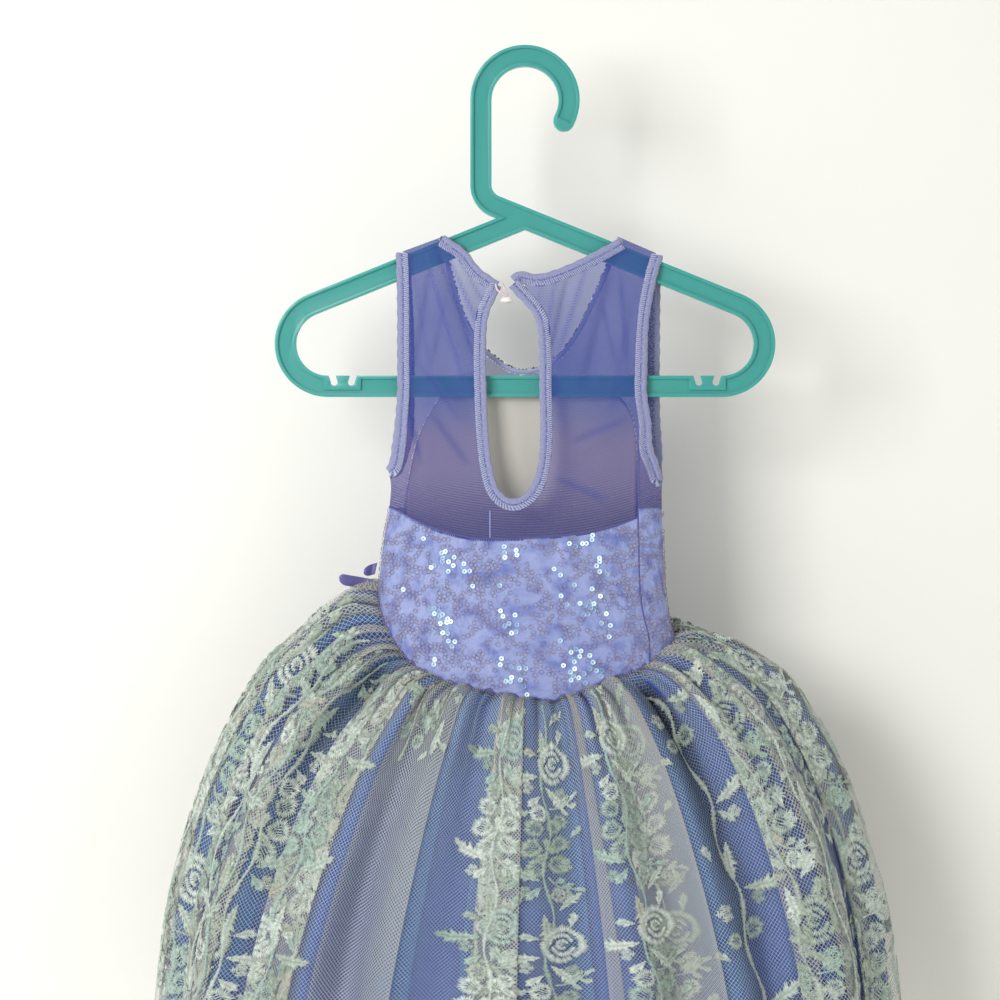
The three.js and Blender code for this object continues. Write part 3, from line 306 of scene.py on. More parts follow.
# Drag lines of the back: ends in x and z, half width, and how far they stand out.
BACK_DRAGS = [
    # from x, z, to x, z, half width, out
    (-52, -118, -27, -176, 2.2, 1.6),
    (-58, -116, -30, -196, 2.6, -1.3),
    (-45, -121, -24, -160, 1.8, -1.1),
    (-64, -122, -36, -214, 3.2, 1.4),
    (-72, -128, -58, -206, 3.5, 0.9),
    (-70, -190, -40, -232, 4, 1.1),
    (-78, -210, -66, -262, 3, -0.9),
    (-60, -226, -34, -262, 4, -0.8),
    (22, -138, 14, -186, 2.2, 1.2),
    (30, -137, 17, -196, 2.8, -1.1),
    (44, -130, 23, -196, 3.5, 1.3),
    (12, -140, 10, -168, 1.8, 1),
    (62, -126, 40, -214, 5, -1),
    (76, -150, 60, -232, 5, 0.9),
    (70, -236, 30, -252, 5, 0.8),
    (20, -268, 56, -284, 4, -0.7),
]
FRONT_DRAGS = [
    (-60, -130, -72, -210, 4, 1.2),
    (-50, -150, -60, -200, 3, -1),
    (66, -130, 72, -206, 4, -1.2),
    (52, -150, 64, -200, 3, 1),
    (-24, -200, -50, -210, 3, 0.8),
    (16, -202, 46, -210, 3, -0.8),
]


def through_rows(keys, values, at):
    """Cubic through a table's rows: its slope at a row is the chord's between neighbours."""
    keys, values, at = (np.asarray(a, float) for a in (keys, values, at))
    if keys[0] > keys[-1]:
        keys, at = -keys, -at
    last = len(keys) - 1
    i = np.clip(np.searchsorted(keys, at) - 1, 0, last - 1)
    before, after = np.maximum(i - 1, 0), np.minimum(i + 2, last)
    span, rise = keys[i + 1] - keys[i], values[i + 1] - values[i]
    t = np.clip((at - keys[i]) / span, 0, 1)
    slope_in = (values[i + 1] - values[before]) / (keys[i + 1] - keys[before])
    slope_out = (values[after] - values[i]) / (keys[after] - keys[i])
    curve = (1 - t) * (slope_in * span - rise) + t * (rise - slope_out * span)
    return values[i] + t * rise + t * (1 - t) * curve


def curve_through(points, count):
    """Uniform Catmull-Rom curve through points, as count + 1 points."""
    points = np.asarray(points, float)
    last = len(points) - 1
    at = np.linspace(0, last, count + 1)
    i = np.minimum(at.astype(int), last - 1)
    t = (at - i)[:, None]
    p0, p1, p2, p3 = (points[np.clip(i + k, 0, last)] for k in (-1, 0, 1, 2))
    v0, v1 = (p2 - p0) / 2, (p3 - p1) / 2
    return ((2 * p1 - 2 * p2 + v0 + v1) * t ** 3
            + (-3 * p1 + 3 * p2 - 2 * v0 - v1) * t ** 2 + v0 * t + p1)


def bell(x):
    """Bell curve: 1 at zero, 0.37 at one."""
    return np.exp(-x ** 2)


def signed_power(value, power):
    """Power of the size of a value, with the value's sign."""
    return np.sign(value) * np.abs(value) ** power


def sine_cosine(turn):
    """Sine and cosine of a turn in degrees."""
    return np.sin(np.radians(turn)), np.cos(np.radians(turn))


def squarish(turn):
    """Sine and cosine of a turn, pushed out to the squarish section."""
    return (signed_power(value, 2 / SQUARENESS) for value in sine_cosine(turn))


def bodice_level(z):
    """Middle, half width, back depth and front depth of the bodice at a level."""
    left, right, back, front = (through_rows(BODICE[:, 0], BODICE[:, k], z) for k in (1, 2, 3, 4))
    return (left + right) / 2, (right - left) / 2, back, front


def shoulder_z(x):
    """Height of the shoulder line over the hanger's arms: the lower of two slopes."""
    return np.minimum(*(end_z + slope * (x - end_x) for end_x, end_z, slope in SHOULDERS))


def shoulder_share(x, z):
    """Share of the depth left in the last millimetres under the shoulder line."""
    rise = np.clip((z - shoulder_z(x) + SHOULDER_ROLL) / SHOULDER_ROLL, 0, 1)
    return np.cbrt(1 - rise ** 3)


def bodice_at(x, z, facing):
    """Point of the back (facing -1) or front (1): a squarish ellipse at each level."""
    middle, half, back, front = bodice_level(z)
    share = np.clip(np.abs(x - middle) / half, 0, 1)
    depth = back if facing < 0 else front
    y = facing * depth * (1 - share ** SQUARENESS) ** (1 / SQUARENESS) * shoulder_share(x, z)
    return np.stack(np.broadcast_arrays(x, y, z), -1)


def bodice_turn(turn, z):
    """Point at a turn in degrees round the bodice: 0 back, 90 right, 180 front."""
    middle, half, back, front = bodice_level(z)
    s, c = squarish(turn)
    x = middle + half * s
    y = -np.where(c > 0, back, front) * c * shoulder_share(x, z)
    return np.stack(np.broadcast_arrays(x, y, z), -1)


def crease_out(x, z, creases):
    """Soft ridges and troughs: each is a bell across its line that fades at both ends."""
    out, density = np.zeros_like(x), np.zeros_like(x)
    for from_x, from_z, to_x, to_z, width, height in creases:
        length = np.hypot(to_x - from_x, to_z - from_z)
        along_x, along_z = (to_x - from_x) / length, (to_z - from_z) / length
        along = ((x - from_x) * along_x + (z - from_z) * along_z) / length
        across = ((x - from_x) * along_z - (z - from_z) * along_x) / width
        fade = np.clip(1.15 - np.abs(2 * along - 1) ** 3, 0, 1)
        out += height * bell(across) * fade
        density += np.abs(height) * bell((across - 0.8) * np.sqrt(3)) * fade
    return out, density


def level_of(line, x):
    """Level of a line that runs from one side to the other, at an x."""
    order = np.argsort(line[:, 0])
    return np.interp(x, line[order, 0], line[order, 1])


def inside_of(line, z):
    """How far inside the side an armhole's edge lies, at a level."""
    order = np.argsort(line[:, 1])
    return np.interp(z, line[order, 1], np.abs(line[order, 0]), left=-50)


neck_left, neck_right = curve_through(BACK_NECK_LEFT, 40), curve_through(BACK_NECK_RIGHT, 60)
keyhole, front_neck, bib = (curve_through(rows, 160) for rows in (KEYHOLE, FRONT_NECK, BIB))
armhole_left, armhole_right = curve_through(ARMHOLE_LEFT, 220), curve_through(ARMHOLE_RIGHT, 220)
keyhole_low = int(np.argmin(keyhole[:, 1]))
# How far the mesh stops short of the edges, under the bindings.
UNDER_BINDING = 4


def back_open(x, z):
    """True where the back is cut away: above the neck, in the keyhole and its closure."""
    line = np.concatenate([neck_left, neck_right])
    above = (z > level_of(line, x) - UNDER_BINDING) & (x > -56) & (x < 64)
    left, right = keyhole[:keyhole_low + 1], keyhole[keyhole_low:]
    from_x = np.interp(z, left[::-1, 1], left[::-1, 0]) - UNDER_BINDING
    to_x = np.interp(z, right[:, 1], right[:, 0]) + UNDER_BINDING
    low_z, top_z = keyhole[keyhole_low, 1] - UNDER_BINDING, keyhole[0, 1] + 8
    hole = (x > from_x) & (x < to_x) & (z > low_z) & (z < top_z)
    return above | hole


def front_open(x, z):
    """True where the front mesh is cut away: above its neckline and behind the bib."""
    above = (z > level_of(front_neck, x) - UNDER_BINDING / 2) & (x > -52) & (x < 60)
    behind_bib = (z < level_of(bib, x) - 2) & (x > bib[0, 0] + 2) & (x < bib[-1, 0] - 2)
    return above | behind_bib


def yoke(name, facing, is_open, drags, from_x=-200, to_x=200):
    """One face of the bodice above its seam, from side to side and up over the shoulder,
    without what is cut away, and with its drag lines."""
    share = np.sin(np.linspace(-1, 1, 181) * np.pi / 2)[:, None]
    top_share = np.concatenate([np.linspace(0, 1, 120)[:-1] * 0.965, np.linspace(0.965, 1, 12)])
    x = 90.5 * share + 0.6
    foot = through_rows(*YOKE_SEAM.T, x) - 1.5 if facing < 0 else np.full_like(x, FRONT_SEAM_Z - 1.5)
    if facing < 0:
        foot = np.where(x > SIDE_SEAM_X, FRONT_SEAM_Z - 1.5, foot)
    for _ in range(3):
        middle, half, _, _ = bodice_level(foot + (shoulder_z(x) - foot) * top_share)
        x = middle + half * share
    z = foot + (shoulder_z(x) - foot) * top_share
    off_seam = np.abs(x - BACK_SEAM_X)
    x = np.where(off_seam == off_seam.min(0), BACK_SEAM_X, x)
    points = bodice_at(x, z, facing)
    out, density = crease_out(x, z, drags)
    points[..., 1] += facing * out * shoulder_share(x, z) * (1 - np.abs(share) ** 6)
    keep = ~is_open(x, z) & (x >= from_x) & (x <= to_x)
    for line, end in ((armhole_left, -1), (armhole_right, 1)):
        part = line[line[:, 0] * facing >= 0]
        inside = half - end * (x - middle)
        in_armhole = (inside <= inside_of(part, z) + UNDER_BINDING) & (inside <= half)
        keep &= ~in_armhole | (z < part[:, 1].min() - 3)
    quads = grid_quads(*x.shape, keep=keep)[:, ::-facing]
    return put_mesh(name, points, quads, np.stack([x, z], -1), gathered=density)


def sheer_mesh(name, colour, fold_colour, cover, row_pitch, row_from, row_to):
    """Sheer power mesh: knitted nylon, so thin that it only tints what lies behind it.
    Its knit rows show as fine lines next to the lower seam, drawn at twice their pitch; next to that
    seam the mesh is also painted darker, a painted shade for the shadowed lining and satin behind it.
    Where a drag line bunches it, it is denser and bluer; stretched below, it is plum."""
    material = new_material(name)
    uv = add_node(material, "UVMap", uv_map="cloth")
    across, level, _ = add_node(material, "SeparateXYZ", {0: uv}).outputs
    bow = add_node(material, "Math", {0: across, 1: across}, operation="MULTIPLY")
    bent = add_node(material, "Math", {0: bow, 1: -2.2, 2: level}, operation="MULTIPLY_ADD")
    wave = add_node(material, "Math", {0: bent, 1: 2 * np.pi / row_pitch}, operation="MULTIPLY")
    rows = add_node(material, "Math", {0: wave}, operation="SINE")
    show = add_node(material, "MapRange", {
        "Value": level, "From Min": row_from, "From Max": row_to, "To Min": 1.0, "To Max": 0.08},
        interpolation_type="SMOOTHSTEP")
    rows_here = add_node(material, "Math", {0: rows, 1: show}, operation="MULTIPLY")
    gathered = add_node(material, "Attribute", attribute_name="gathered").outputs["Fac"]
    cloud = add_node(material, "TexNoise", {"Vector": uv, "Scale": 22.0, "Detail": 3.0})
    # Each of these adds its share to the cover, and the last sum is held below 1.
    dense = cover
    for amount, share in ((gathered, 0.11), (cloud, 0.1), (show, 0.1), (rows_here, 0.24)):
        dense = add_node(material, "Math", {0: amount, 1: share, 2: dense},
                         operation="MULTIPLY_ADD", use_clamp=amount == rows_here)
    low = add_node(material, "MapRange", {
        "Value": level, "From Min": -0.25, "From Max": -0.22, "To Min": 1.0, "To Max": 0.0},
        interpolation_type="SMOOTHSTEP")
    tint = add_node(material, "Mix", {0: low, 6: colour, 7: "#5d5398"}, data_type="RGBA")
    # Painted shade: next to the lower seam the mesh is painted darker, for the shadowed lining and satin
    # behind it.
    tint = add_node(material, "Mix", {0: show, 6: tint, 7: "#3c3b7e"}, data_type="RGBA")
    tint = add_node(material, "Mix", {0: gathered, 6: tint, 7: fold_colour}, data_type="RGBA")
    bump = add_node(material, "Bump", {"Height": rows_here, "Strength": 0.3, "Distance": 0.0004})
    cloth = add_node(material, "BsdfPrincipled", {
        "Base Color": tint, "Roughness": 0.6, "Sheen Weight": 0.35, "Sheen Roughness": 0.4,
        "Sheen Tint": "#c3c8de", "Specular IOR Level": 0.35, "Normal": bump})
    clear = add_node(material, "BsdfTransparent")
    return finish_material(material, add_node(material, "MixShader", {0: dense, 1: clear, 2: cloth}))


power_mesh = sheer_mesh(
    "power_mesh", "#2f459e", "#2a3b92", 0.52, row_pitch=0.0017, row_from=-0.307, row_to=-0.262)

yokes = [
    yoke("back_mesh_left", -1, back_open, BACK_DRAGS, to_x=BACK_SEAM_X),
    yoke("back_mesh_right", -1, back_open, BACK_DRAGS, from_x=BACK_SEAM_X),
    yoke("front_mesh", 1, front_open, FRONT_DRAGS),
]
for piece, node_name in zip(yokes, ("back_yoke_left", "back_yoke_right", "front_yoke")):
    piece.data.materials.append(power_mesh)
    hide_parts(node_name)
    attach(piece, "root")


# ---------------------------------------------------------------- bindings
# Knit elastic folded over each raw edge of the mesh and cover-stitched: a smooth rolled
# outer edge, a groove, and a flat inner half under a zig-zag of thread.

# Section of a binding: distance in from the edge and height above the mesh, all round.
BINDING_SECTION = np.array([
    (0.1, -0.4), (-0.3, 0.2), (0.1, 0.9), (0.9, 1.25), (2.2, 1.3), (3.3, 1.05), (3.8, 0.65),
    (4.3, 0.75), (5.8, 0.85), (7.2, 0.75), (7.8, 0.4), (7.8, -0.2), (4.0, -0.4),
])
# How far the keyhole's strip runs on past the ends of its edge, to lie under the others.
KEYHOLE_EXTRA = (6.0, 7.0)
# Rows of stitches: distance in from the edge of their two ends, pitch, slant and width.
BINDING_STITCHES = [(4.4, 7.7, 1.3, 1.0, 0.7), (1.5, 2.1, 1.9, 0.9, 0.45)]
BINDING_STEP = 1.3


def unit(vectors):
    """Vectors brought to a length of 1."""
    return vectors / (np.linalg.norm(vectors, axis=-1, keepdims=True) + 1e-9)


def leftwards(along):
    """Flat directions turned a quarter to the left."""
    return np.stack([-along[:, 1], along[:, 0]], 1)


def beside_line(line, distance):
    """The line moved sideways, to the right of its direction of travel."""
    along = unit(np.gradient(line, axis=0))
    return line - leftwards(along) * np.reshape(distance, (-1, 1))


def running_total(steps):
    """Sums of the steps so far, from zero on."""
    return np.concatenate([[0], np.cumsum(steps)])


def points_at(line, run, at):
    """Points of a flat line at runs along it, from the run of each of its own points."""
    return np.stack([np.interp(at, run, line[:, k]) for k in (0, 1)], 1)


def even_line(line, step, least=4):
    """The same line with its points about one step apart, and its length."""
    run = running_total(np.linalg.norm(np.diff(line, axis=0), axis=1))
    at = np.linspace(0, run[-1], max(int(run[-1] / step), least) + 1)
    return points_at(line, run, at), run[-1]


def outwards(place, first, second, step=0.3):
    """Unit normal of a surface at its two parameters, from two short steps, away from
    the middle of the bodice."""
    point = place(first, second)
    side = place(first + step, second) - place(first - step, second)
    rise = place(first, second + step) - place(first, second - step)
    normal = unit(np.cross(side, rise))
    sign = np.sign((normal * point * (0.1, 1, 0)).sum(-1, keepdims=True) + 1e-9)
    return normal * sign


def on_cloth(place, line, distance, height):
    """Points beside an edge: the line moved in by a distance, laid on the cloth by "place"
    and lifted by a height along the cloth's normal."""
    x, z = beside_line(line, distance).T
    return place(x, z) + outwards(place, x, z, step=0.4) * np.reshape(height, (-1, 1))


def thread_tube(path, radius, sides=4):
    """Round thread along a path of points: rings of points square to its direction."""
    along = unit(np.gradient(path, axis=0))
    helper = np.where(np.abs(along[:, 1:2]) < 0.9, [[0, 1.0, 0]], [[1.0, 0, 0]])
    first = unit(np.cross(along, helper))
    second = np.cross(along, first)
    turn = np.linspace(0, 2 * np.pi, sides, endpoint=False)[None, :, None]
    ring = first[:, None] * np.cos(turn) + second[:, None] * np.sin(turn)
    points = path[:, None] + ring * np.reshape(radius, (-1, 1, 1))
    points[0], points[-1] = path[0], path[-1]
    return points.reshape(-1, 3), grid_quads(len(path), sides, tube=True)[:, ::-1]


def joined(parts):
    """One array of points and one of faces from several."""
    offsets = np.cumsum([0] + [len(points) for points, _ in parts[:-1]])
    faces = [quads + offset for (_, quads), offset in zip(parts, offsets)]
    return np.concatenate([points for points, _ in parts]), np.concatenate(faces)


def repeated(quads, size, count):
    """The faces of many copies, in a row, of one shape that has "size" points."""
    return (quads[None] + size * np.arange(count)[:, None, None]).reshape(-1, 4)


# The back and the front of the bodice, as places for lines given in x and z.
def on_back(x, z):
    return bodice_at(x, z, -1)


def on_front(x, z):
    return bodice_at(x, z, 1)


def round_side(end):
    """Place of an armhole's points: distance inside the side, negative on the back."""
    def place(inside, z):
        middle, half, _, _ = bodice_level(z)
        x = middle + end * (half - np.abs(inside))
        return np.where((inside < 0)[:, None], bodice_at(x, z, -1), bodice_at(x, z, 1))
    return place


def below_shoulder(line, place):
    """The part of a line that lies under the shoulder line."""
    x = place(line[:, 0], line[:, 1])[:, 0]
    return line[line[:, 1] < shoulder_z(x) - 0.2]


def lengthened(line, before, after):
    """The line drawn on straight past its two ends."""
    first, last = unit(line[0] - line[2]), unit(line[-1] - line[-3])
    return np.concatenate([line[:1] + before * first, line, line[-1:] + after * last])


# A bowed thread has three pairs of points: at its two ends and in the middle.
BOWED_QUADS = np.array([(0, 1, 3, 2), (2, 3, 5, 4)])


def slanted_stitches(place, edge, length, near, far, pitch, slant, width):
    """A row of separate stitches, each a flat thread bowed up between its two ends."""
    run = np.linspace(0, length, len(edge))
    at = np.arange(pitch / 2, length - pitch / 2, pitch)
    corners = []
    for share, height in ((0, 0.9), (0.5, 1.55), (1, 0.55)):
        for side in (-1, 1):
            along = at + slant * (share - 0.5) + side * width / 2
            line, distance = points_at(edge, run, along), near + (far - near) * share
            corners.append(on_cloth(place, line, distance, height - 0.15 * side))
    return np.stack(corners, 1).reshape(-1, 3), repeated(BOWED_QUADS, 6, len(at))


def binding(name, line, place, node_name, section=BINDING_SECTION,
            stitch_rows=BINDING_STITCHES, knit=None):
    """Carries the section along an edge and sews it down with rows of slanted stitches."""
    edge, length = even_line(below_shoulder(line, place), BINDING_STEP)
    rings = np.stack([on_cloth(place, edge, d, h) for d, h in section], 1)
    swell = 1 + 0.05 * np.sin(np.arange(len(edge)) * 0.9)[:, None, None]
    centre = rings.mean(1, keepdims=True)
    rings = centre + (rings - centre) * swell
    strip = put_mesh(name, rings, grid_quads(len(edge), len(section), tube=True),
                     flat_grid(np.linspace(0, length, len(edge)), section[:, 0]))
    strip.data.materials.append(knit or knit_binding)
    close_ends(strip, len(edge), len(section))
    face_outwards(strip)
    rows = [slanted_stitches(place, edge, length, *row) for row in stitch_rows]
    stitches = put_mesh(name + "_stitches", *joined(rows))
    stitches.data.materials.append(stitch_thread)
    for piece in (strip, stitches):
        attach(piece, "root")
    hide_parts(node_name)
    return strip, stitches


def flat_grid(along, across):
    """Flat place of each point of a grid of cloth."""
    return np.stack(np.meshgrid(along, across, indexing="ij"), -1)


def close_ends(piece, rings, sides):
    """Caps the two open ends of a strip."""
    with edited(piece.data) as work:
        work.verts.ensure_lookup_table()
        work.faces.new([work.verts[k] for k in range(sides)])
        work.faces.new([work.verts[(rings - 1) * sides + k] for k in reversed(range(sides))])


def face_outwards(piece, weld=False):
    """Turns every face of a closed piece outwards. A weld first joins the points that lie
    together at poles and ends."""
    with edited(piece.data) as work:
        if weld:
            bmesh.ops.remove_doubles(work, verts=work.verts, dist=2e-6)
        bmesh.ops.recalc_face_normals(work, faces=work.faces)
    return piece


def knit_elastic(name, colour, deep_colour, rib_pitch):
    """Brushed nylon knit: matt and soft, with fine ribs across the strip drawn at their own pitch, paler
    on the rolled edge and darker and bluer from the groove inwards: painted shade in the groove, and a
    darker inner half under the stitches."""
    material = new_material(name)
    uv = add_node(material, "UVMap", uv_map="cloth")
    along, across, _ = add_node(material, "SeparateXYZ", {0: uv}).outputs
    turn = add_node(material, "Math", {0: along, 1: 2 * np.pi / rib_pitch}, operation="MULTIPLY")
    rib = add_node(material, "Math", {0: turn}, operation="SINE")
    # Painted shade in the groove, and the darker inner half under the stitches.
    inner = add_node(material, "MapRange", {
        "Value": across, "From Min": 0.0026, "From Max": 0.0042, "To Min": 0.35, "To Max": 1.5},
        interpolation_type="SMOOTHSTEP")
    spots = add_node(material, "TexNoise", {"Vector": uv, "Scale": 900.0, "Detail": 2.0})
    spots = add_node(material, "MapRange", {"Value": spots, "From Min": 0.38, "From Max": 0.62})
    mottled = add_node(material, "Math", {0: spots, 1: inner}, operation="MULTIPLY", use_clamp=True)
    tint = add_node(material, "Mix", {0: mottled, 6: colour, 7: deep_colour}, data_type="RGBA")
    bump = add_node(material, "Bump", {"Height": rib, "Strength": 0.35, "Distance": 0.0003})
    return finish_material(material, add_node(material, "BsdfPrincipled", {
        "Base Color": tint, "Roughness": 0.75, "Sheen Weight": 0.5, "Sheen Roughness": 0.5,
        "Sheen Tint": "#dcdce8", "Specular IOR Level": 0.3, "Normal": bump}))


def spun_thread(name, colour):
    """Textured polyester thread: paler than the cloth, with a soft lustre."""
    material = new_material(name)
    return finish_material(material, add_node(material, "BsdfPrincipled", {
        "Base Color": colour, "Roughness": 0.55, "Sheen Weight": 0.3}))


knit_binding = knit_elastic("brushed_knit_elastic", "#9396b5", "#545e9c", 0.0014)
# Painted highlight: a paler copy of the knit for the front neck, which lies in shade.
knit_painted_paler = knit_elastic("thin_knit_elastic_painted_paler", "#a9aed0", "#8d93c0", 0.0014)
stitch_thread = spun_thread("textured_thread", "#abafcd")

bindings = [
    binding("neck_binding_left", neck_left, on_back, "back_neck_binding_left"),
    binding("neck_binding_right", neck_right, on_back, "back_neck_binding_right"),
    binding("keyhole_edge", lengthened(keyhole, *KEYHOLE_EXTRA), on_back, "keyhole_binding"),
    binding("armhole_edge_left", armhole_left, round_side(-1), "armhole_binding_left"),
    binding("armhole_edge_right", armhole_right, round_side(1), "armhole_binding_right"),
    # The front neckline has a narrower binding of the same knit painted paler, a painted highlight that
    # makes up for the shade it lies in.
    binding("front_neck_edge", front_neck, on_front, "front_neck_binding",
            BINDING_SECTION * (0.36, 0.6), [(1.4, 2.6, 1.6, 0.6, 0.4)], knit_painted_paler),
]

# Glitter beads: half their size, how far they lie in from the edge, and their heights.
TRIM_BEADS = 900
TRIM_BEAD_SIZE = 0.48
TRIM_ACROSS = (-0.7, 1.9)
TRIM_HEIGHTS = (0.5, 1.7)
TRIM_LINES = 8


def random_turns(draw, count):
    """Rotation matrices that turn a bead any way, from random unit quaternions."""
    q = draw.normal(size=(4, count))
    w, x, y, z = q / np.linalg.norm(q, axis=0)
    return np.stack([
        1 - 2 * (y * y + z * z), 2 * (x * y - z * w), 2 * (x * z + y * w),
        2 * (x * y + z * w), 1 - 2 * (x * x + z * z), 2 * (y * z - x * w),
        2 * (x * z - y * w), 2 * (y * z + x * w), 1 - 2 * (x * x + y * y)], 1).reshape(-1, 3, 3)


def many(points, quads, places, turns):
    """One mesh of many copies: the points of each are turned and moved to its place."""
    copies = points[None] @ turns.transpose(0, 2, 1) + places[:, None]
    return copies.reshape(-1, 3), repeated(quads, len(points), len(places))


CUBE = np.array([(x, y, z) for x in (-1, 1) for y in (-1, 1) for z in (-1, 1)], float)
CUBE_QUADS = np.array([
    (0, 1, 3, 2), (4, 6, 7, 5), (0, 4, 5, 1), (2, 3, 7, 6), (0, 2, 6, 4), (1, 5, 7, 3)])


def glitter_trim(count):
    """Tiny cut beads sewn close together along the front neck's very edge."""
    draw = np.random.default_rng(21)
    edge, _ = even_line(below_shoulder(front_neck, on_front), 0.4)
    at = np.sort(draw.uniform(0, len(edge) - 1, count)).astype(int)
    across, height = draw.uniform(*TRIM_ACROSS, count), draw.uniform(*TRIM_HEIGHTS, count)
    distances = np.linspace(*TRIM_ACROSS, TRIM_LINES)
    lines = np.stack([on_cloth(on_front, edge, distance, 1.0) for distance in distances])
    nearest = np.interp(across, distances, np.arange(TRIM_LINES)).round().astype(int)
    places = lines[nearest, at] + np.outer(height - 1, (0, 1, 0))
    beads = many(CUBE * TRIM_BEAD_SIZE, CUBE_QUADS, places, random_turns(draw, count))
    piece = put_mesh("glitter_trim", *beads)
    piece.data.polygons.foreach_set("use_smooth", np.zeros(len(piece.data.polygons), bool))
    return piece


trim = glitter_trim(TRIM_BEADS)
# Cut glass beads with a silver foil lining. Their colour is painted patch by patch: pale patches are a
# painted glint, dark ones a painted reflection of dark air.
glitter = new_material("cut_glass_beads")
glitter_at = add_node(glitter, "TexCoord").outputs["Object"]
glitter_cell = add_node(glitter, "TexVoronoi", {"Vector": glitter_at, "Scale": 700.0}).outputs["Color"]
glitter_pick = add_node(glitter, "SeparateColor", {0: glitter_cell})
glitter_painted_glint = add_node(glitter, "MapRange", {
    "Value": glitter_pick, "From Min": 0.35, "From Max": 0.7})
glitter_tint = add_node(glitter, "Mix", {
    0: glitter_painted_glint, 6: "#55555f", 7: "#e0ddd6"}, data_type="RGBA")
finish_material(glitter, add_node(glitter, "BsdfPrincipled", {
    "Base Color": glitter_tint, "Metallic": 0.6, "Roughness": 0.18}))
trim.data.materials.append(glitter)
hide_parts("front_neck_trim")
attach(trim, "root")


# ---------------------------------------------------------------- sequin bodice and lining
# Stretch satin, cut as a back band and a front piece that rises into a bib, joined at the
# side seams and sewn to the mesh above. The bib is lined with a pale stretch lining.

WAIST = np.array([
    # turn, z
    (-180, -350), (-130, -341), (-100, -346), (-84, -362), (-68, -380), (-52, -393),
    (-36, -402.5), (-20, -408.4), (-6, -413), (4, -416.6), (15, -411.5), (30, -402.5),
    (46, -396), (62, -386.5), (84, -379), (102, -375), (130, -366), (180, -350),
])
RIGHT_SEAM_TURN = 52
LEFT_SEAM_TURN = -104
SATIN_WALL = 0.9
# Millimetres of flat cloth for each degree round the bodice.
FLAT_PER_TURN = 1.45
BIB_TOP_Z = -206
SATIN_COLUMNS = 170
BIB_COLUMNS = 90
SATIN_ROWS = 44
# Half of the gap between the two pieces at a side seam, in degrees.
SEAM_TURN = 0.25

# Soft wrinkles of the band: ends as turn and z, half width, and how far they stand out.
BAND_WRINKLES = [
    (6, -311, 3, -330, 2.2, 0.9),
    (9, -311, 9, -326, 1.8, -0.9),
    (16, -309, 14, -334, 2.6, 1),
    (19.5, -308, 19, -322, 1.8, -0.8),
    (-30, -330, -6, -352, 5, 0.7),
    (-44, -318, -20, -326, 4, -0.6),
    (-2, -362, 26, -352, 5, 0.8),
    (24, -340, 44, -330, 4, -0.8),
    (20, -372, 42, -380, 4, 0.9),
    (-46, -372, -14, -384, 5, -0.8),
    (-20, -396, 0, -404, 3, 0.7),
    (30, -392, 46, -386, 3, -0.9),
    (34, -366, 48, -356, 3.5, 0.9),
    (-70, -340, -58, -372, 4, 0.8),
    (150, -330, 185, -342, 5, 0.8),
    (210, -320, 230, -340, 5, -0.8),
    (120, -340, 132, -300, 5, 0.8),
]


def either_way(turn):
    """The same turn counted from -180 to 180."""
    return (turn + 180) % 360 - 180


def waist_z(turn):
    """Level of the waist seam, a little uneven where the gathers pull at it."""
    turn = either_way(np.asarray(turn, float))
    pulled = 0.8 * np.sin(np.radians(turn * 47)) + 0.6 * np.sin(np.radians(turn * 83) + 1)
    return through_rows(WAIST[:, 0], WAIST[:, 1], turn) + pulled


def sequin_top_z(turn):
    """Level of the seam above the satin: the yoke seam on the back band, followed at the
    point's own x, and one level on the front piece."""
    z = np.full_like(turn, float(FRONT_SEAM_Z))
    on_band = (np.cos(np.radians(turn)) > 0) & (turn <= RIGHT_SEAM_TURN)
    for _ in range(4):
        z = np.where(on_band, through_rows(*YOKE_SEAM.T, bodice_turn(turn, z)[..., 0]), z)
    return z


def satin_at(turn, z, lift=0.0):
    """Point on the satin with its wrinkles, lifted along the normal."""
    out, _ = crease_out((turn + 76) % 360 - 76, z, BAND_WRINKLES)
    normal = outwards(bodice_turn, turn, z)
    return bodice_turn(turn, z) + normal * (out + lift)[..., None]


def satin_piece(name, grids):
    """Thin closed shell on one or more grids of turns and levels, with its flat place."""
    parts = [(satin_at(turn, z).reshape(-1, 3), grid_quads(*z.shape)) for turn, z in grids]
    flat = [np.stack([turn * FLAT_PER_TURN, z], -1).reshape(-1, 2) for turn, z in grids]
    return shell(put_mesh(name, *joined(parts), np.concatenate(flat)), SATIN_WALL)


def between(turns, top_z):
    """Grid of turns and levels from the waist seam up to a top level at each turn."""
    share = np.linspace(0, 1, SATIN_ROWS)[None, :]
    foot = waist_z(turns)[:, None]
    return turns[:, None] + 0 * share, foot + (top_z[:, None] - foot) * share


def shell(piece, wall):
    """Gives a one-layer piece its thickness, inwards."""
    modifier = piece.modifiers.new("wall", "SOLIDIFY")
    modifier.thickness = wall * 0.001
    modifier.offset = -1
    return piece


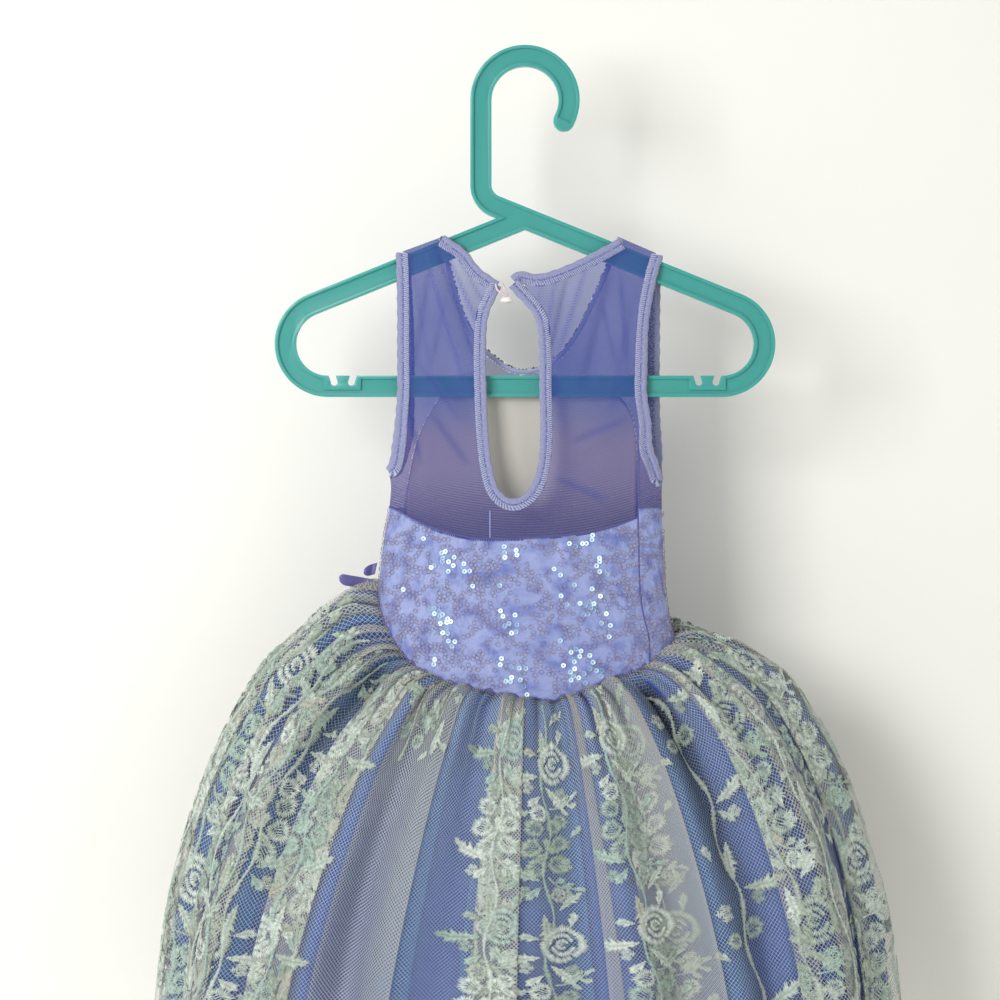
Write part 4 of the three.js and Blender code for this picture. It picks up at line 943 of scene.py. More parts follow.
def stretch_satin(name, colour, deep_colour):
    """Nylon stretch satin: smooth and a little glossy, with a soft sheen that pales it at
    grazing angles; faint warp lines and a broad mottle keep it from looking moulded."""
    material = new_material(name)
    uv = add_node(material, "UVMap", uv_map="cloth")
    cloud = add_node(material, "TexNoise", {"Vector": uv, "Scale": 85.0, "Detail": 3.0})
    soft = add_node(material, "MapRange", {
        "Value": cloud, "From Min": 0.42, "From Max": 0.72}, interpolation_type="SMOOTHSTEP")
    tint = add_node(material, "Mix", {0: soft, 6: colour, 7: deep_colour}, data_type="RGBA")
    grain = add_node(material, "TexNoise", {"Vector": uv, "Scale": 420.0, "Detail": 2.0})
    height = add_node(material, "Math", {0: cloud, 1: 5.0, 2: grain}, operation="MULTIPLY_ADD")
    bump = add_node(material, "Bump", {"Height": height, "Strength": 0.6, "Distance": 0.0006})
    return finish_material(material, add_node(material, "BsdfPrincipled", {
        "Base Color": tint, "Roughness": 0.5, "Sheen Weight": 0.5, "Sheen Roughness": 0.35,
        "Sheen Tint": "#d3d8ec", "Specular IOR Level": 0.5, "Normal": bump}))


satin = stretch_satin("stretch_satin", "#8b96c6", "#6470b0")

band_turns = np.linspace(LEFT_SEAM_TURN + SEAM_TURN, RIGHT_SEAM_TURN - SEAM_TURN, SATIN_COLUMNS)
back_band = satin_piece("satin_back_band", [between(band_turns, sequin_top_z(band_turns))])
front_turns = np.linspace(
    RIGHT_SEAM_TURN + SEAM_TURN, 360 + LEFT_SEAM_TURN - SEAM_TURN, SATIN_COLUMNS)


def bib_grid():
    """Turns and levels of the bib, from just under the side seams' top to its own edge."""
    x = np.linspace(bib[0, 0], bib[-1, 0], BIB_COLUMNS)[:, None]
    foot = FRONT_SEAM_Z - 0.5
    z = foot + (level_of(bib, x) - foot) * np.linspace(0, 1, SATIN_ROWS)
    middle, half, _, _ = bodice_level(z)
    share = np.clip((x - middle) / half, -1, 1)
    return (180 - np.degrees(np.arcsin(signed_power(share, SQUARENESS / 2))))[::-1], z[::-1]


front_piece = satin_piece("satin_front", [
    between(front_turns, np.full_like(front_turns, FRONT_SEAM_Z)), bib_grid()])


def on_band(turn, z, margin):
    """True on the back band, a margin inside its top edge."""
    return z < sequin_top_z(turn) - margin


def on_front_piece(turn, z, margin):
    """True on the front piece, a margin inside its own edges."""
    x = bodice_turn(turn, z)[:, 0]
    in_bib = (x > bib[0, 0] + margin) & (x < bib[-1, 0] - margin) & (z < level_of(bib, x) - margin)
    return in_bib | (z < FRONT_SEAM_Z - margin)


for piece, node_name in ((back_band, "back_band"), (front_piece, "front_bodice")):
    piece.data.materials.append(satin)
    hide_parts(node_name)
    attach(piece, "root")


# Cup sequins sewn on in wandering trails, each a thin clear film with a hole and a rim that shows
# pink-brown; a few are painted pale white or cyan and given a glow, a painted glint.
SEQUIN_RADIUS = 1.5
SEQUIN_HOLE = 0.5
SEQUIN_PITCH = 2.7
SEQUIN_SIDES = 12
SEQUIN_COLUMNS = 84
PAINTED_GLINT_SEQUINS = 120
# The satin's margin left bare, next to the waist seam and the other edges.
WAIST_MARGIN = 2.6
EDGE_MARGIN = 2.2
# Where the sequins with a painted glint gather: x and half width.
PAINTED_GLINT_PATCHES = [(-55, 13), (-8, 8), (38, 15)]
# Radians of a random turn, a little under a full one.
ANY_TURN = 6.28


def trails(u, z):
    """Strength of the sequin trails at a place: zero runs along wandering lines where two
    sums of sines cancel, so the trails meander and never cross in a grid."""
    first = np.sin(u * 0.19 + 1.3 * np.sin(z * 0.16) + 0.5) + np.sin(z * 0.23 + 1.6 * np.sin(u * 0.11))
    second = np.sin((u + z) * 0.13 + 1.4 * np.sin((u - z) * 0.15)) + np.sin((u - z) * 0.17 + 2.1)
    return np.minimum(np.abs(first), np.abs(second) * 1.25)


def ring_shape(radii, heights, sides):
    """Flat rings about Z, one at each radius and height, as points, faces and ring number."""
    turn = np.linspace(0, 2 * np.pi, sides, endpoint=False)
    points = np.concatenate([
        np.stack([r * np.cos(turn), r * np.sin(turn), h + 0 * turn], 1)
        for r, h in zip(radii, heights)])
    quads = grid_quads(len(radii), sides, tube=True)
    return points, quads, np.repeat(np.arange(len(radii)), sides)


def facing_turns(normal, spin, tip, tip_way):
    """Rotations that bring Z to each normal, spun about it and tipped off it a little."""
    way = np.stack([np.cos(tip_way), 0 * tip, np.sin(tip_way)], 1)
    tipped = unit(normal + way * tip[:, None])
    side = unit(np.cross(tipped, (0.0, 0.0, 1.0)))
    up = np.cross(tipped, side)
    x = side * np.cos(spin)[:, None] + up * np.sin(spin)[:, None]
    y = np.cross(tipped, x)
    return np.stack([x, y, tipped], 2)


def sequin_places(draw, turns, top_z):
    """Turn and level of places for the sequins: a shaken grid over the piece."""
    rows = np.arange(-420, top_z, SEQUIN_PITCH * 0.87)
    columns = np.linspace(turns[0] + 1.5, turns[1] - 1.5, SEQUIN_COLUMNS)
    turn, z = np.meshgrid(columns, rows, indexing="ij")
    turn = turn + draw.uniform(-0.35, 0.35, turn.shape) * (turns[1] - turns[0]) / SEQUIN_COLUMNS
    z = z + draw.uniform(-0.9, 0.9, z.shape)
    return turn.ravel(), z.ravel()


def sequin_layer(name, seed, turns, on_piece):
    """Rings on one satin piece: dull ones on the trails and some with a painted glint."""
    draw = np.random.default_rng(seed)
    turn, z = sequin_places(draw, turns, BIB_TOP_Z)
    point = bodice_turn(turn, z)
    flat = np.where(np.cos(np.radians(turn)) > 0, point[:, 0], 300 - point[:, 0])
    strength = trails(flat, z) + draw.uniform(-0.12, 0.12, len(flat))
    inside = (z > waist_z(turn) + WAIST_MARGIN) & on_piece(turn, z, EDGE_MARGIN)
    spaced = thinned(point, inside & (strength < 0.5), SEQUIN_PITCH * 0.8)
    turn, z = turn[spaced], z[spaced]
    draw = np.random.default_rng(seed + 1)
    x = bodice_turn(turn, z)[:, 0]
    patch = sum(bell((x - at) / wide) for at, wide in PAINTED_GLINT_PATCHES)
    patch = patch * (0.5 + 0.5 * np.sin(z * 0.15 + x * 0.12)) + draw.uniform(-0.75, 0.75, len(turn))
    # Painted glint: these sequins get the pale film with a glow.
    bright = np.zeros(len(turn), bool)
    bright[np.argsort(patch)[-PAINTED_GLINT_SEQUINS:]] = True
    shape, quads, ring = ring_shape(
        (SEQUIN_HOLE, SEQUIN_RADIUS * 0.78, SEQUIN_RADIUS), (0.0, 0.12, 0.3), SEQUIN_SIDES)
    pieces = []
    for label, mine, tip, lift, size in (("dull", ~bright, 0.55, 0.5, 1.0),
                                         ("bright", bright, 0.3, 0.8, 1.05)):
        t, level = turn[mine], z[mine]
        spin, tipped, way = (draw.uniform(0, most, len(t)) for most in (ANY_TURN, tip, ANY_TURN))
        turns_of = facing_turns(outwards(bodice_turn, t, level), spin, tipped, way)
        rings = many(shape * size, quads, satin_at(t, level, lift), turns_of)
        light = np.repeat(draw.uniform(0, 1, len(t)), len(ring))
        rim = np.tile(ring / 2.0, len(t))
        pieces.append(put_mesh(name + "_" + label, *rings, rim=rim, light=light))
    return pieces


def thinned(points, chosen, apart):
    """Numbers of the chosen points, leaving out each that comes too close to one before it."""
    kept = []
    for i in np.flatnonzero(chosen):
        near = points[kept[-400:]] - points[i] if kept else np.empty((0, 3))
        if not len(near) or np.min((near ** 2).sum(1)) > apart ** 2:
            kept.append(i)
    return np.array(kept)


def sequin_film(name, film, rim, other_rim, clear, painted_glow):
    """Vacuum-coated polyester film: clear and glossy in the middle, tinted at the rim where one looks
    along the film, differently from one sequin to the next. Its glow, zero on the dull film, is a
    painted glint."""
    material = new_material(name)
    at_rim = add_node(material, "Attribute", attribute_name="rim").outputs["Fac"]
    edge = add_node(material, "MapRange", {
        "Value": at_rim, "From Min": 0.45, "From Max": 0.8}, interpolation_type="SMOOTHSTEP")
    light = add_node(material, "Attribute", attribute_name="light").outputs["Fac"]
    rims = add_node(material, "Mix", {0: light, 6: rim, 7: other_rim}, data_type="RGBA")
    tint = add_node(material, "Mix", {0: edge, 6: film, 7: rims}, data_type="RGBA")
    clearer = add_node(material, "Math", {0: light, 1: 1 - clear}, operation="MULTIPLY")
    solid = add_node(material, "MapRange", {"Value": edge, "To Min": clearer, "To Max": 1.0})
    # Painted glint: a glow that stands in for the lamp's reflection.
    painted_glint_glow = add_node(material, "Math", {0: light, 1: painted_glow}, operation="MULTIPLY")
    face = add_node(material, "BsdfPrincipled", {
        "Base Color": tint, "Roughness": 0.3, "Metallic": 0.1,
        "Emission Color": tint, "Emission Strength": painted_glint_glow})
    open_air = add_node(material, "BsdfTransparent")
    return finish_material(material, add_node(material, "MixShader", {0: solid, 1: open_air, 2: face}))


dull_film = sequin_film("sequin_film_dull", "#8f90b4", "#6f6288", "#96807f", clear=0.7, painted_glow=0.0)
# Painted glint: pale white and cyan tints and a glow stand in for the lamp's reflection.
painted_glint_film = sequin_film(
    "sequin_film_bright", "#cfe6f0", "#76c2d8", "#e4f4f8", clear=0.0, painted_glow=0.55)
sequins = (sequin_layer("band_sequins", 31, (LEFT_SEAM_TURN, RIGHT_SEAM_TURN), on_band)
           + sequin_layer("front_sequins", 41, (RIGHT_SEAM_TURN, 360 + LEFT_SEAM_TURN),
                          on_front_piece))
for piece in sequins:
    piece.data.materials.append(painted_glint_film if piece.name.endswith("bright") else dull_film)
    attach(piece, "root")


seam_thread = spun_thread("indigo_seam_thread", "#43478f")
pale_thread = spun_thread("pale_seam_thread", "#7b86c4")


def seam(name, points, radius, thread=seam_thread):
    """A seam's edge: a thread sunk halfway into the cloth along a line of points."""
    piece = face_outwards(put_mesh(name, *thread_tube(points, radius, sides=6)))
    piece.data.materials.append(thread)
    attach(piece, "root")
    return piece


def side_line(turn):
    """Points up the side at a turn, from the waist seam to the front piece's level."""
    turns = np.full(60, float(turn))
    foot = waist_z(turns)
    return satin_at(turns, foot + (FRONT_SEAM_Z - foot) * np.linspace(0, 1, 60), -0.1)


round_turns = np.linspace(-180, 180, 500)
seam_turns = np.linspace(LEFT_SEAM_TURN, RIGHT_SEAM_TURN, 260)
yoke_side = on_back(np.full(60, SIDE_SEAM_X), np.linspace(FRONT_SEAM_Z, -236, 60))
under_keyhole = on_back(np.full(30, float(BACK_SEAM_X)), np.linspace(-311, -292.5, 30))
seams = [
    # The dark indigo thread at the waist is partly the seam and partly a painted shadow line under the
    # band's edge.
    seam("waist_seam_and_painted_shadow", satin_at(round_turns, waist_z(round_turns) + 0.2, 0.1), 0.75),
    seam("yoke_seam", satin_at(seam_turns, sequin_top_z(seam_turns), 0.1), 0.5),
    seam("side_seam_right", side_line(RIGHT_SEAM_TURN), 0.5),
    seam("side_seam_left", side_line(LEFT_SEAM_TURN), 0.5),
    seam("yoke_side_seam", yoke_side, 0.4),
    seam("keyhole_seam", under_keyhole - (0, 0.5, 0), 0.55, pale_thread),
]


LINING_FOOT_Z = -336
LINING_WALL = 0.7


def lining_panel():
    """Inner face of the bib, a little smaller, with soft vertical folds."""
    x = np.linspace(bib[0, 0] + 1, bib[-1, 0] - 1, BIB_COLUMNS)[:, None]
    z = LINING_FOOT_Z + (level_of(bib, x) - 1 - LINING_FOOT_Z) * np.linspace(0, 1, 40)
    x = x + 0 * z
    out = -1.9 - SATIN_WALL + 0.35 * np.sin(x * 0.21 + 0.8 * np.sin(z * 0.05)) * (z > -330)
    points = bodice_at(x, z, 1) + outwards(on_front, x, z) * out[..., None]
    quads = grid_quads(*x.shape)[:, ::-1]
    return shell(put_mesh("bib_lining", points, quads, np.stack([x, z], -1)), LINING_WALL)


lining = lining_panel()
tricot = new_material("lining_tricot")
tricot_uv = add_node(tricot, "UVMap", uv_map="cloth")
tricot_noise = add_node(tricot, "TexNoise", {"Vector": tricot_uv, "Scale": 500.0})
tricot_bump = add_node(tricot, "Bump", {"Height": tricot_noise, "Strength": 0.3, "Distance": 0.0003})
finish_material(tricot, add_node(tricot, "BsdfPrincipled", {
    "Base Color": "#bcb9b2", "Roughness": 0.7, "Sheen Weight": 0.3, "Normal": tricot_bump}))
lining.data.materials.append(tricot)
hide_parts("front_lining")
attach(lining, "root")


# ---------------------------------------------------------------- skirt
# A gathered skirt of three layers caught in the waist seam: embroidered net lace outside,
# blue tulle under it and violet tulle next to the body. The lace is laid over in broad
# uneven pleats that radiate from the waist, so it is three layers deep in places.

HEM = {"z": -640, "left": -236, "right": 238, "back": 102, "front": 82}
SKIRT_RUN = np.array([
    # run, side out, left down, right down, back out, back down
    (0, 0, 0, 0, 0, 0),
    (0.07, 0.15, 0, 0, 0.13, 0.035),
    (0.17, 0.33, 0.065, 0.03, 0.25, 0.13),
    (0.3, 0.53, 0.155, 0.11, 0.4, 0.27),
    (0.5, 0.76, 0.38, 0.33, 0.6, 0.48),
    (0.75, 0.93, 0.68, 0.65, 0.82, 0.74),
    (1, 1, 1, 1, 1, 1),
])
BACK_FOLDS = np.array([
    # share of the width, out at the hem
    (-0.97, -8), (-0.87, 12), (-0.76, -8), (-0.63, 12), (-0.53, -13), (-0.4, 13), (-0.21, -9),
    (-0.04, 9), (0.16, -9), (0.31, 13), (0.46, -11), (0.6, 11), (0.73, -9), (0.86, 12), (0.96, -8),
])
FRONT_FOLD_OUT = [10, 9, 13, 11, 8, 12, 9]
FRONT_FOLD_COUNT = 13
FOLD_GROWTH = 0.6

# Pleats of the lace: turns of its two edges, and whether its left (-1) or right (1) shows.
LACE_PLEATS = [
    (-92, -84, 1), (-78, -73, -1), (-66, -57, 1), (-50, -37, -1), (-34, -18.3, 1), (-7.6, -0.5, 1),
    (9.5, 12.5, -1), (16.5, 30, 1), (46.3, 52, -1), (56, 64, 1), (71, 79, -1), (90, 98, 1),
    (108, 117, -1), (124, 138, 1), (147, 153, -1), (160, 174, 1), (184, 190, -1),
    (197, 210, 1), (218, 225, -1), (232, 245, 1), (254, 260, -1),
]
BLUE_PLEATS = [
    (-88, -80, 1), (-60, -52, -1), (-24, -15.5, 1), (-9, -6, -1), (3.5, 8.3, 1), (26, 37, 1),
    (58, 66, -1), (84, 92, 1), (112, 122, -1), (140, 148, 1), (166, 178, -1), (200, 208, 1),
    (228, 238, -1), (252, 260, 1),
]
VIOLET_PLEATS = [
    (-76, -66, 1), (-42, -35, -1), (-4, 3, 1), (34, 42, -1), (72, 80, 1), (118, 128, -1),
    (160, 168, 1), (204, 214, -1), (240, 250, 1),
]
FOLD_ROUNDING = 0.55
# Deep gaps between the pleats: turn, half width, depth, and the run they reach.
VALLEYS = np.array([
    (-53.5, 3.2, 13, 0.6), (36.5, 4.2, 14, 0.8), (-69, 2, 6, 0.7), (-12, 1.6, 3.5, 0.3),
    (53.8, 1.8, 6, 0.6), (10.5, 1.4, 4, 0.3), (104, 2.4, 7, 0.6), (142, 2.2, 7, 0.5),
    (180, 2.4, 7, 0.6), (214, 2.2, 6, 0.5), (249, 2.4, 7, 0.6),
])


def fold_table():
    """Turns and heights of all main folds, in order round the skirt, back to the first."""
    back = np.degrees(np.arcsin(signed_power(BACK_FOLDS[:, 0], SQUARENESS / 2)))
    count = FRONT_FOLD_COUNT + 1
    step = np.arange(1, count)
    front = back[-1] + (back[0] + 360 - back[-1]) * step / count
    out = np.where(step % 2, 1, -1) * np.take(FRONT_FOLD_OUT, step, mode="wrap")
    turns = np.concatenate([back, front, back[:1] + 360])
    return turns, np.concatenate([BACK_FOLDS[:, 1], out, BACK_FOLDS[:1, 1]])


fold_turns, fold_heights = fold_table()


def between_rows(turns, turn):
    """Number of the last row before a turn, and the share of the way to the next one."""
    at = (turn - turns[0]) % 360 + turns[0]
    i = np.clip(np.searchsorted(turns, at, "right") - 1, 0, len(turns) - 2)
    return i, (at - turns[i]) / (turns[i + 1] - turns[i])


def fold_out(turn):
    """Height of the main folds at the hem: a cosine from each fold to the next."""
    i, share = between_rows(fold_turns, turn)
    return fold_heights[i] + (fold_heights[i + 1] - fold_heights[i]) * (1 - np.cos(np.pi * share)) / 2


def skirt_smooth(turn, run):
    """Skirt without folds: each point goes from the waist seam towards the hem's ellipse by
    its own shares outwards and downwards, which differ at the back and the sides."""
    s, c = squarish(turn)
    start = bodice_turn(turn, waist_z(turn) - 0.6)
    end_x = (HEM["left"] + HEM["right"]) / 2 + (HEM["right"] - HEM["left"]) / 2 * s
    end_y = -np.where(c > 0, HEM["back"], HEM["front"]) * c
    side_out, left_down, right_down, back_out, back_down = (
        through_rows(SKIRT_RUN[:, 0], SKIRT_RUN[:, k], run) for k in (1, 2, 3, 4, 5))
    side = s * s / (s * s + c * c)
    out = back_out + (side_out - back_out) * side
    down = back_down + (np.where(s < 0, left_down, right_down) - back_down) * side
    end = np.stack([end_x, end_y, np.full_like(end_x, HEM["z"])], -1)
    share = np.stack([out, out, down], -1)
    return start + (end - start) * share


def skirt_normal(turn, run):
    """Outward direction of the smooth skirt, level at the hem."""
    side = skirt_smooth(turn + 1, run) - skirt_smooth(turn - 1, run)
    lower, upper = np.clip(run + 0.02, 0, 1), np.clip(run - 0.02, 0, 1)
    down = skirt_smooth(turn, lower) - skirt_smooth(turn, upper)
    normal = unit(np.cross(down, side))
    normal[..., 2] *= 1 - run
    return normal


def gathers(seed, count, height, reach):
    """Table of the puffs between the creases at the waist: the turn of the crease before
    each, how far it stands out and how far down it runs. The last row closes the ring."""
    draw = np.random.default_rng(seed)
    turn = (np.arange(count) + draw.uniform(0, 0.75, count)) * 360 / count - 180
    out, down = draw.uniform(0.4, 1, count) * height, draw.uniform(0.3, 1, count) * reach
    rows = np.stack([turn, out, down], 1)
    return np.concatenate([rows, rows[:1] + (360, 0, 0)])


def gather_out(turn, run, table):
    """Puffs with sharp creases between them: the root of a sine across each, which opens
    just under the seam and fades further down."""
    i, share = between_rows(table[:, 0], turn)
    puff = np.sqrt(np.sin(np.pi * np.clip(share, 0, 1)) + 0.02) - 0.45
    opening = 1 - np.exp(-(run + 0.004) / 0.014)
    return table[i, 1] * puff * bell(run / table[i, 2]) * opening


def in_crease(turn, run):
    """How deep a point lies in the gathers' creases or in a gap, from 0 on a puff to 1: the depth of the
    painted shade.
    """
    out = sum(gather_out(turn, run, table) for table in WAIST_GATHERS)
    crease = np.clip((1.3 - out) / 3.0, 0, 1) * bell(run / 0.2)
    return np.clip(crease + 0.06 * valley_in(turn, run), 0, 1)


def valley_in(turn, run):
    """Depth of the gaps: a bell across each, which opens under the seam and closes lower."""
    depth = np.zeros(np.shape(turn))
    for at, width, deep, reach in VALLEYS:
        opening = np.clip(run / 0.08, 0, 1) * bell(run / reach)
        depth = depth + deep * bell(either_way(turn - at) / width) * opening
    return depth


# Puffs between the creases at the waist, and smaller ones on top of them.
WAIST_GATHERS = [gathers(11, 62, 11, 0.3), gathers(12, 150, 5, 0.2)]


class PleatedSheet:
    """Cloth that runs round the skirt, back and forth through its pleats. "cloth" counts
    degrees along the cloth, longer than a full turn; "level" is the layer it lies in.
    "lie" and "spread" are how far in it lies at the waist and more so at the hem."""

    def __init__(self, pleats, lie, spread, layer_gap):
        self.pleats, self.lie, self.spread, self.layer_gap = pleats, lie, spread, layer_gap
        cloth, turns, levels = [0.0], [pleats[0][0]], [0.0]
        for from_turn, to_turn, shows in pleats:
            middle = (from_turn + to_turn) / 2
            path = [(from_turn, 1), (middle, 1), (to_turn, 0.5), (middle, 0), (from_turn, -0.5),
                    (middle, -1), (to_turn, -1)]
            for turn, level in path:
                cloth.append(cloth[-1] + abs(turn - turns[-1]))
                turns.append(turn)
                levels.append(level * shows)
        cloth.append(cloth[-1] + pleats[0][0] + 360 - turns[-1])
        turns.append(pleats[0][0] + 360)
        levels.append(levels[1])
        levels[0] = levels[1]
        self.length = cloth[-1]
        self.cloth = np.linspace(0, self.length, 12000, endpoint=False)
        self.turn = self.rounded(np.interp(self.cloth, cloth, turns), 360)
        self.level = self.rounded(np.interp(self.cloth, cloth, levels), 0)
        steps = np.diff(turns)
        self.corners = np.array(cloth[1:-1])[steps[:-1] * steps[1:] < 0]

    def rounded(self, values, period):
        """The values with their corners rounded, going round without a break."""
        step = self.length / len(self.cloth)
        reach = int(4 * FOLD_ROUNDING / step)
        kernel = np.exp(-0.5 * (np.arange(-reach, reach + 1) * step / FOLD_ROUNDING) ** 2)
        around = np.concatenate([values[-reach:] - period, values, values[:reach] + period])
        return np.convolve(around, kernel / kernel.sum(), "valid")

    def at(self, cloth, run, lift=0.0):
        """Points at degrees along the cloth and a run from the waist (0) to the hem (1)."""
        cloth, run = np.broadcast_arrays(cloth % self.length, run)
        turn = np.interp(cloth, self.cloth, self.turn)
        level = np.interp(cloth, self.cloth, self.level)
        out = fold_out(turn) * run ** FOLD_GROWTH
        for table in WAIST_GATHERS:
            out = out + gather_out(turn, run, table)
        out = out + level * self.layer_gap * (0.35 + run) - self.lie - self.spread * run + lift
        out = out + 0.8 * run * np.sin(turn * 0.55 + 2.2 * np.sin(run * 5 + turn * 0.07))
        out = out - valley_in(turn, run)
        return skirt_smooth(turn, run) + skirt_normal(turn, run) * out[..., None]

    def from_fold(self, cloth):
        """Distance along the cloth from the nearest folded edge."""
        return np.abs(cloth[:, None] - self.corners[None]).min(1)

    def columns(self, count):
        """Degrees along the cloth, closer together at the folded edges."""
        weight = np.cumsum(1 + 3.5 * bell(self.from_fold(self.cloth) / 1.5))
        return np.interp(np.linspace(0, weight[-1], count, endpoint=False), weight, self.cloth)

    def measure(self, end):
        """Flat sizes: along the cloth at half its depth, and down from the waist."""
        middle = self.at(self.cloth, np.full_like(self.cloth, 0.6 * end))
        step = np.linalg.norm(np.diff(middle, axis=0, append=middle[:1]), axis=1)
        self.flat = running_total(step[:-1])
        self.flat_length = step.sum()
        self.runs = np.linspace(0, end, 60)
        down = self.at(self.columns(90)[:, None], self.runs[None, :])
        step = np.linalg.norm(np.diff(down, axis=1), axis=2).mean(0)
        self.depth = running_total(step)

    def from_flat(self, along, down, lift=0.0):
        """Points of the hung cloth at places on the flat cloth, in millimetres."""
        cloth = np.interp(along % self.flat_length, self.flat, self.cloth)
        return self.at(cloth, np.interp(down, self.depth, self.runs), lift)


def skirt_layer(name, sheet, columns, rows, end):
    """Ring of cloth from the waist to its hem, with its flat place and how densely it is gathered: the
    flat width between two columns over their true distance. The painted shade depth is high in creases
    and in the layers that lie inside a pleat, where the net is painted darker as painted shade."""
    sheet.measure(end)
    cloth = sheet.columns(columns)
    run = end * np.linspace(0, 1, rows) ** 1.25
    points = sheet.at(cloth[:, None], run[None, :])
    along = np.interp(cloth, sheet.cloth, sheet.flat)
    down = np.interp(run, sheet.runs, sheet.depth)
    flat_step = np.diff(along, append=along[:1] + sheet.flat_length)[:, None]
    true_step = np.linalg.norm(np.roll(points, -1, 0) - points, axis=2)
    folded = 1.6 * bell(sheet.from_fold(cloth) / 0.8)[:, None]
    dense = np.clip(flat_step / np.maximum(true_step, 0.05), 0.8, 4) + folded
    turn, level = (np.interp(cloth, sheet.cloth, values) for values in (sheet.turn, sheet.level))
    folded_in = sum((turn > from_turn) & (turn < to_turn) for from_turn, to_turn, _ in sheet.pleats)
    # Painted shade: the layers inside a pleat are painted darker.
    inner = (0.14 * folded_in * (1 - level))[:, None]
    hollow = np.maximum(in_crease(turn[:, None], run[None, :]), inner)
    return put_mesh(name, points, grid_quads(*dense.shape, ring=True)[:, ::-1],
                    flat_grid(along, down), gathered=dense, hollow=hollow)


lace_sheet = PleatedSheet(LACE_PLEATS, lie=0.0, spread=0.0, layer_gap=1.3)
blue_sheet = PleatedSheet(BLUE_PLEATS, lie=2.4, spread=4.1, layer_gap=1.0)
violet_sheet = PleatedSheet(VIOLET_PLEATS, lie=4.2, spread=9.0, layer_gap=1.0)
lace = skirt_layer("lace_net", lace_sheet, columns=1380, rows=50, end=1.0)
blue_tulle = skirt_layer("blue_tulle", blue_sheet, columns=900, rows=34, end=0.97)
violet_tulle = skirt_layer("violet_tulle", violet_sheet, columns=800, rows=30, end=0.945)


def net_cloth(name, thread, shadow_thread, bunched, cell, wire, cover, haze):
    """Hexagonal net drawn as crossing threads, a cell about twice its real size so that it shows.
    Between the threads it lets through what lies behind; gathered, it closes up and turns to its bunched
    colour. In creases and in the inner layers of a pleat it is painted darker, painted shade."""
    material = new_material(name)
    uv = add_node(material, "UVMap", uv_map="cloth")
    along, down, _ = add_node(material, "SeparateXYZ", {0: uv}).outputs
    threads = None
    for sign in (1.0, -1.0):
        slant = add_node(material, "Math", {0: down, 1: sign * 0.8, 2: along}, operation="MULTIPLY_ADD")
        wave = add_node(material, "Math", {0: slant, 1: np.pi / cell}, operation="MULTIPLY")
        line = add_node(material, "Math", {0: wave}, operation="SINE")
        line = add_node(material, "Math", {0: line}, operation="ABSOLUTE")
        line = add_node(material, "MapRange", {
            "Value": line, "From Min": 0.0, "From Max": wire, "To Min": 1.0, "To Max": 0.0},
            interpolation_type="SMOOTHSTEP")
        threads = line if threads is None else add_node(
            material, "Math", {0: threads, 1: line}, operation="MAXIMUM")
    gathered = add_node(material, "Attribute", attribute_name="gathered").outputs["Fac"]
    thin = add_node(material, "Math", {0: threads, 1: cover, 2: haze}, operation="MULTIPLY_ADD")
    clear = add_node(material, "Math", {0: 1.0, 1: thin}, operation="SUBTRACT", use_clamp=True)
    clear = add_node(material, "Math", {0: clear, 1: gathered}, operation="POWER")
    tint = add_node(material, "Mix", {0: threads, 6: shadow_thread, 7: thread}, data_type="RGBA")
    bunch = add_node(material, "MapRange", {"Value": gathered, "From Min": 1.5, "From Max": 3.2})
    tint = add_node(material, "Mix", {0: bunch, 6: tint, 7: bunched}, data_type="RGBA")
    # Painted shade: darker by the depth of creases, gaps and inner layers.
    hollow = add_node(material, "Attribute", attribute_name="hollow").outputs["Fac"]
    shade = add_node(material, "MapRange", {"Value": hollow, "To Min": 1.08, "To Max": 0.14})
    tint = add_node(material, "Mix", {
        0: 1.0, 6: tint, 7: shade}, data_type="RGBA", blend_type="MULTIPLY")
    cloth = add_node(material, "BsdfPrincipled", {
        "Base Color": tint, "Roughness": 0.65, "Sheen Weight": 0.2, "Specular IOR Level": 0.3})
    lit_through = add_node(material, "BsdfTranslucent", {"Color": tint})
    body = add_node(material, "MixShader", {0: 0.25, 1: cloth, 2: lit_through})
    open_air = add_node(material, "BsdfTransparent")
    return finish_material(material, add_node(material, "MixShader", {0: clear, 1: body, 2: open_air}))


lace_net = net_cloth("lace_net", "#d6d8d0", "#b0afa9", "#c0b2a4",
                     cell=0.0026, wire=0.36, cover=0.84, haze=0.04)
blue_net = net_cloth("blue_tulle", "#5a9ad6", "#3f80c4", "#3f7cb8",
                     cell=0.0023, wire=0.5, cover=0.3, haze=0.3)
violet_net = net_cloth("violet_tulle", "#4459c8", "#3948ac", "#3948ac",
                       cell=0.0021, wire=0.5, cover=0.12, haze=0.86)

SKIRT_PIECES = [
    (lace, lace_net, "embroidered_lace", ("skirt_lace_back", "skirt_lace_front")),
    (blue_tulle, blue_net, "blue_tulle", ("skirt_tulle_blue",)),
    (violet_tulle, violet_net, "violet_tulle", ("skirt_tulle_violet",)),
]
for piece, material, slot, node_names in SKIRT_PIECES:
    piece.data.materials.append(material)
    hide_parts(*node_names)
    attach(piece, "root")


# ---------------------------------------------------------------- embroidery
# Machine embroidery in thick rayon thread on the lace net: climbing stems with roses,
# clusters of ringed petals with barred centres, small flowers, buds and toothed leaves.
# Every motif is made of separate bowed threads laid side by side across its strokes, of
# uneven length, so that its edges look combed. The panels without vines are plain net.

THREAD_STEP = 0.95
THREAD_WIDTH = 0.86
THREAD_HEIGHT = 0.7
THREAD_BAR_WIDTH = 0.45
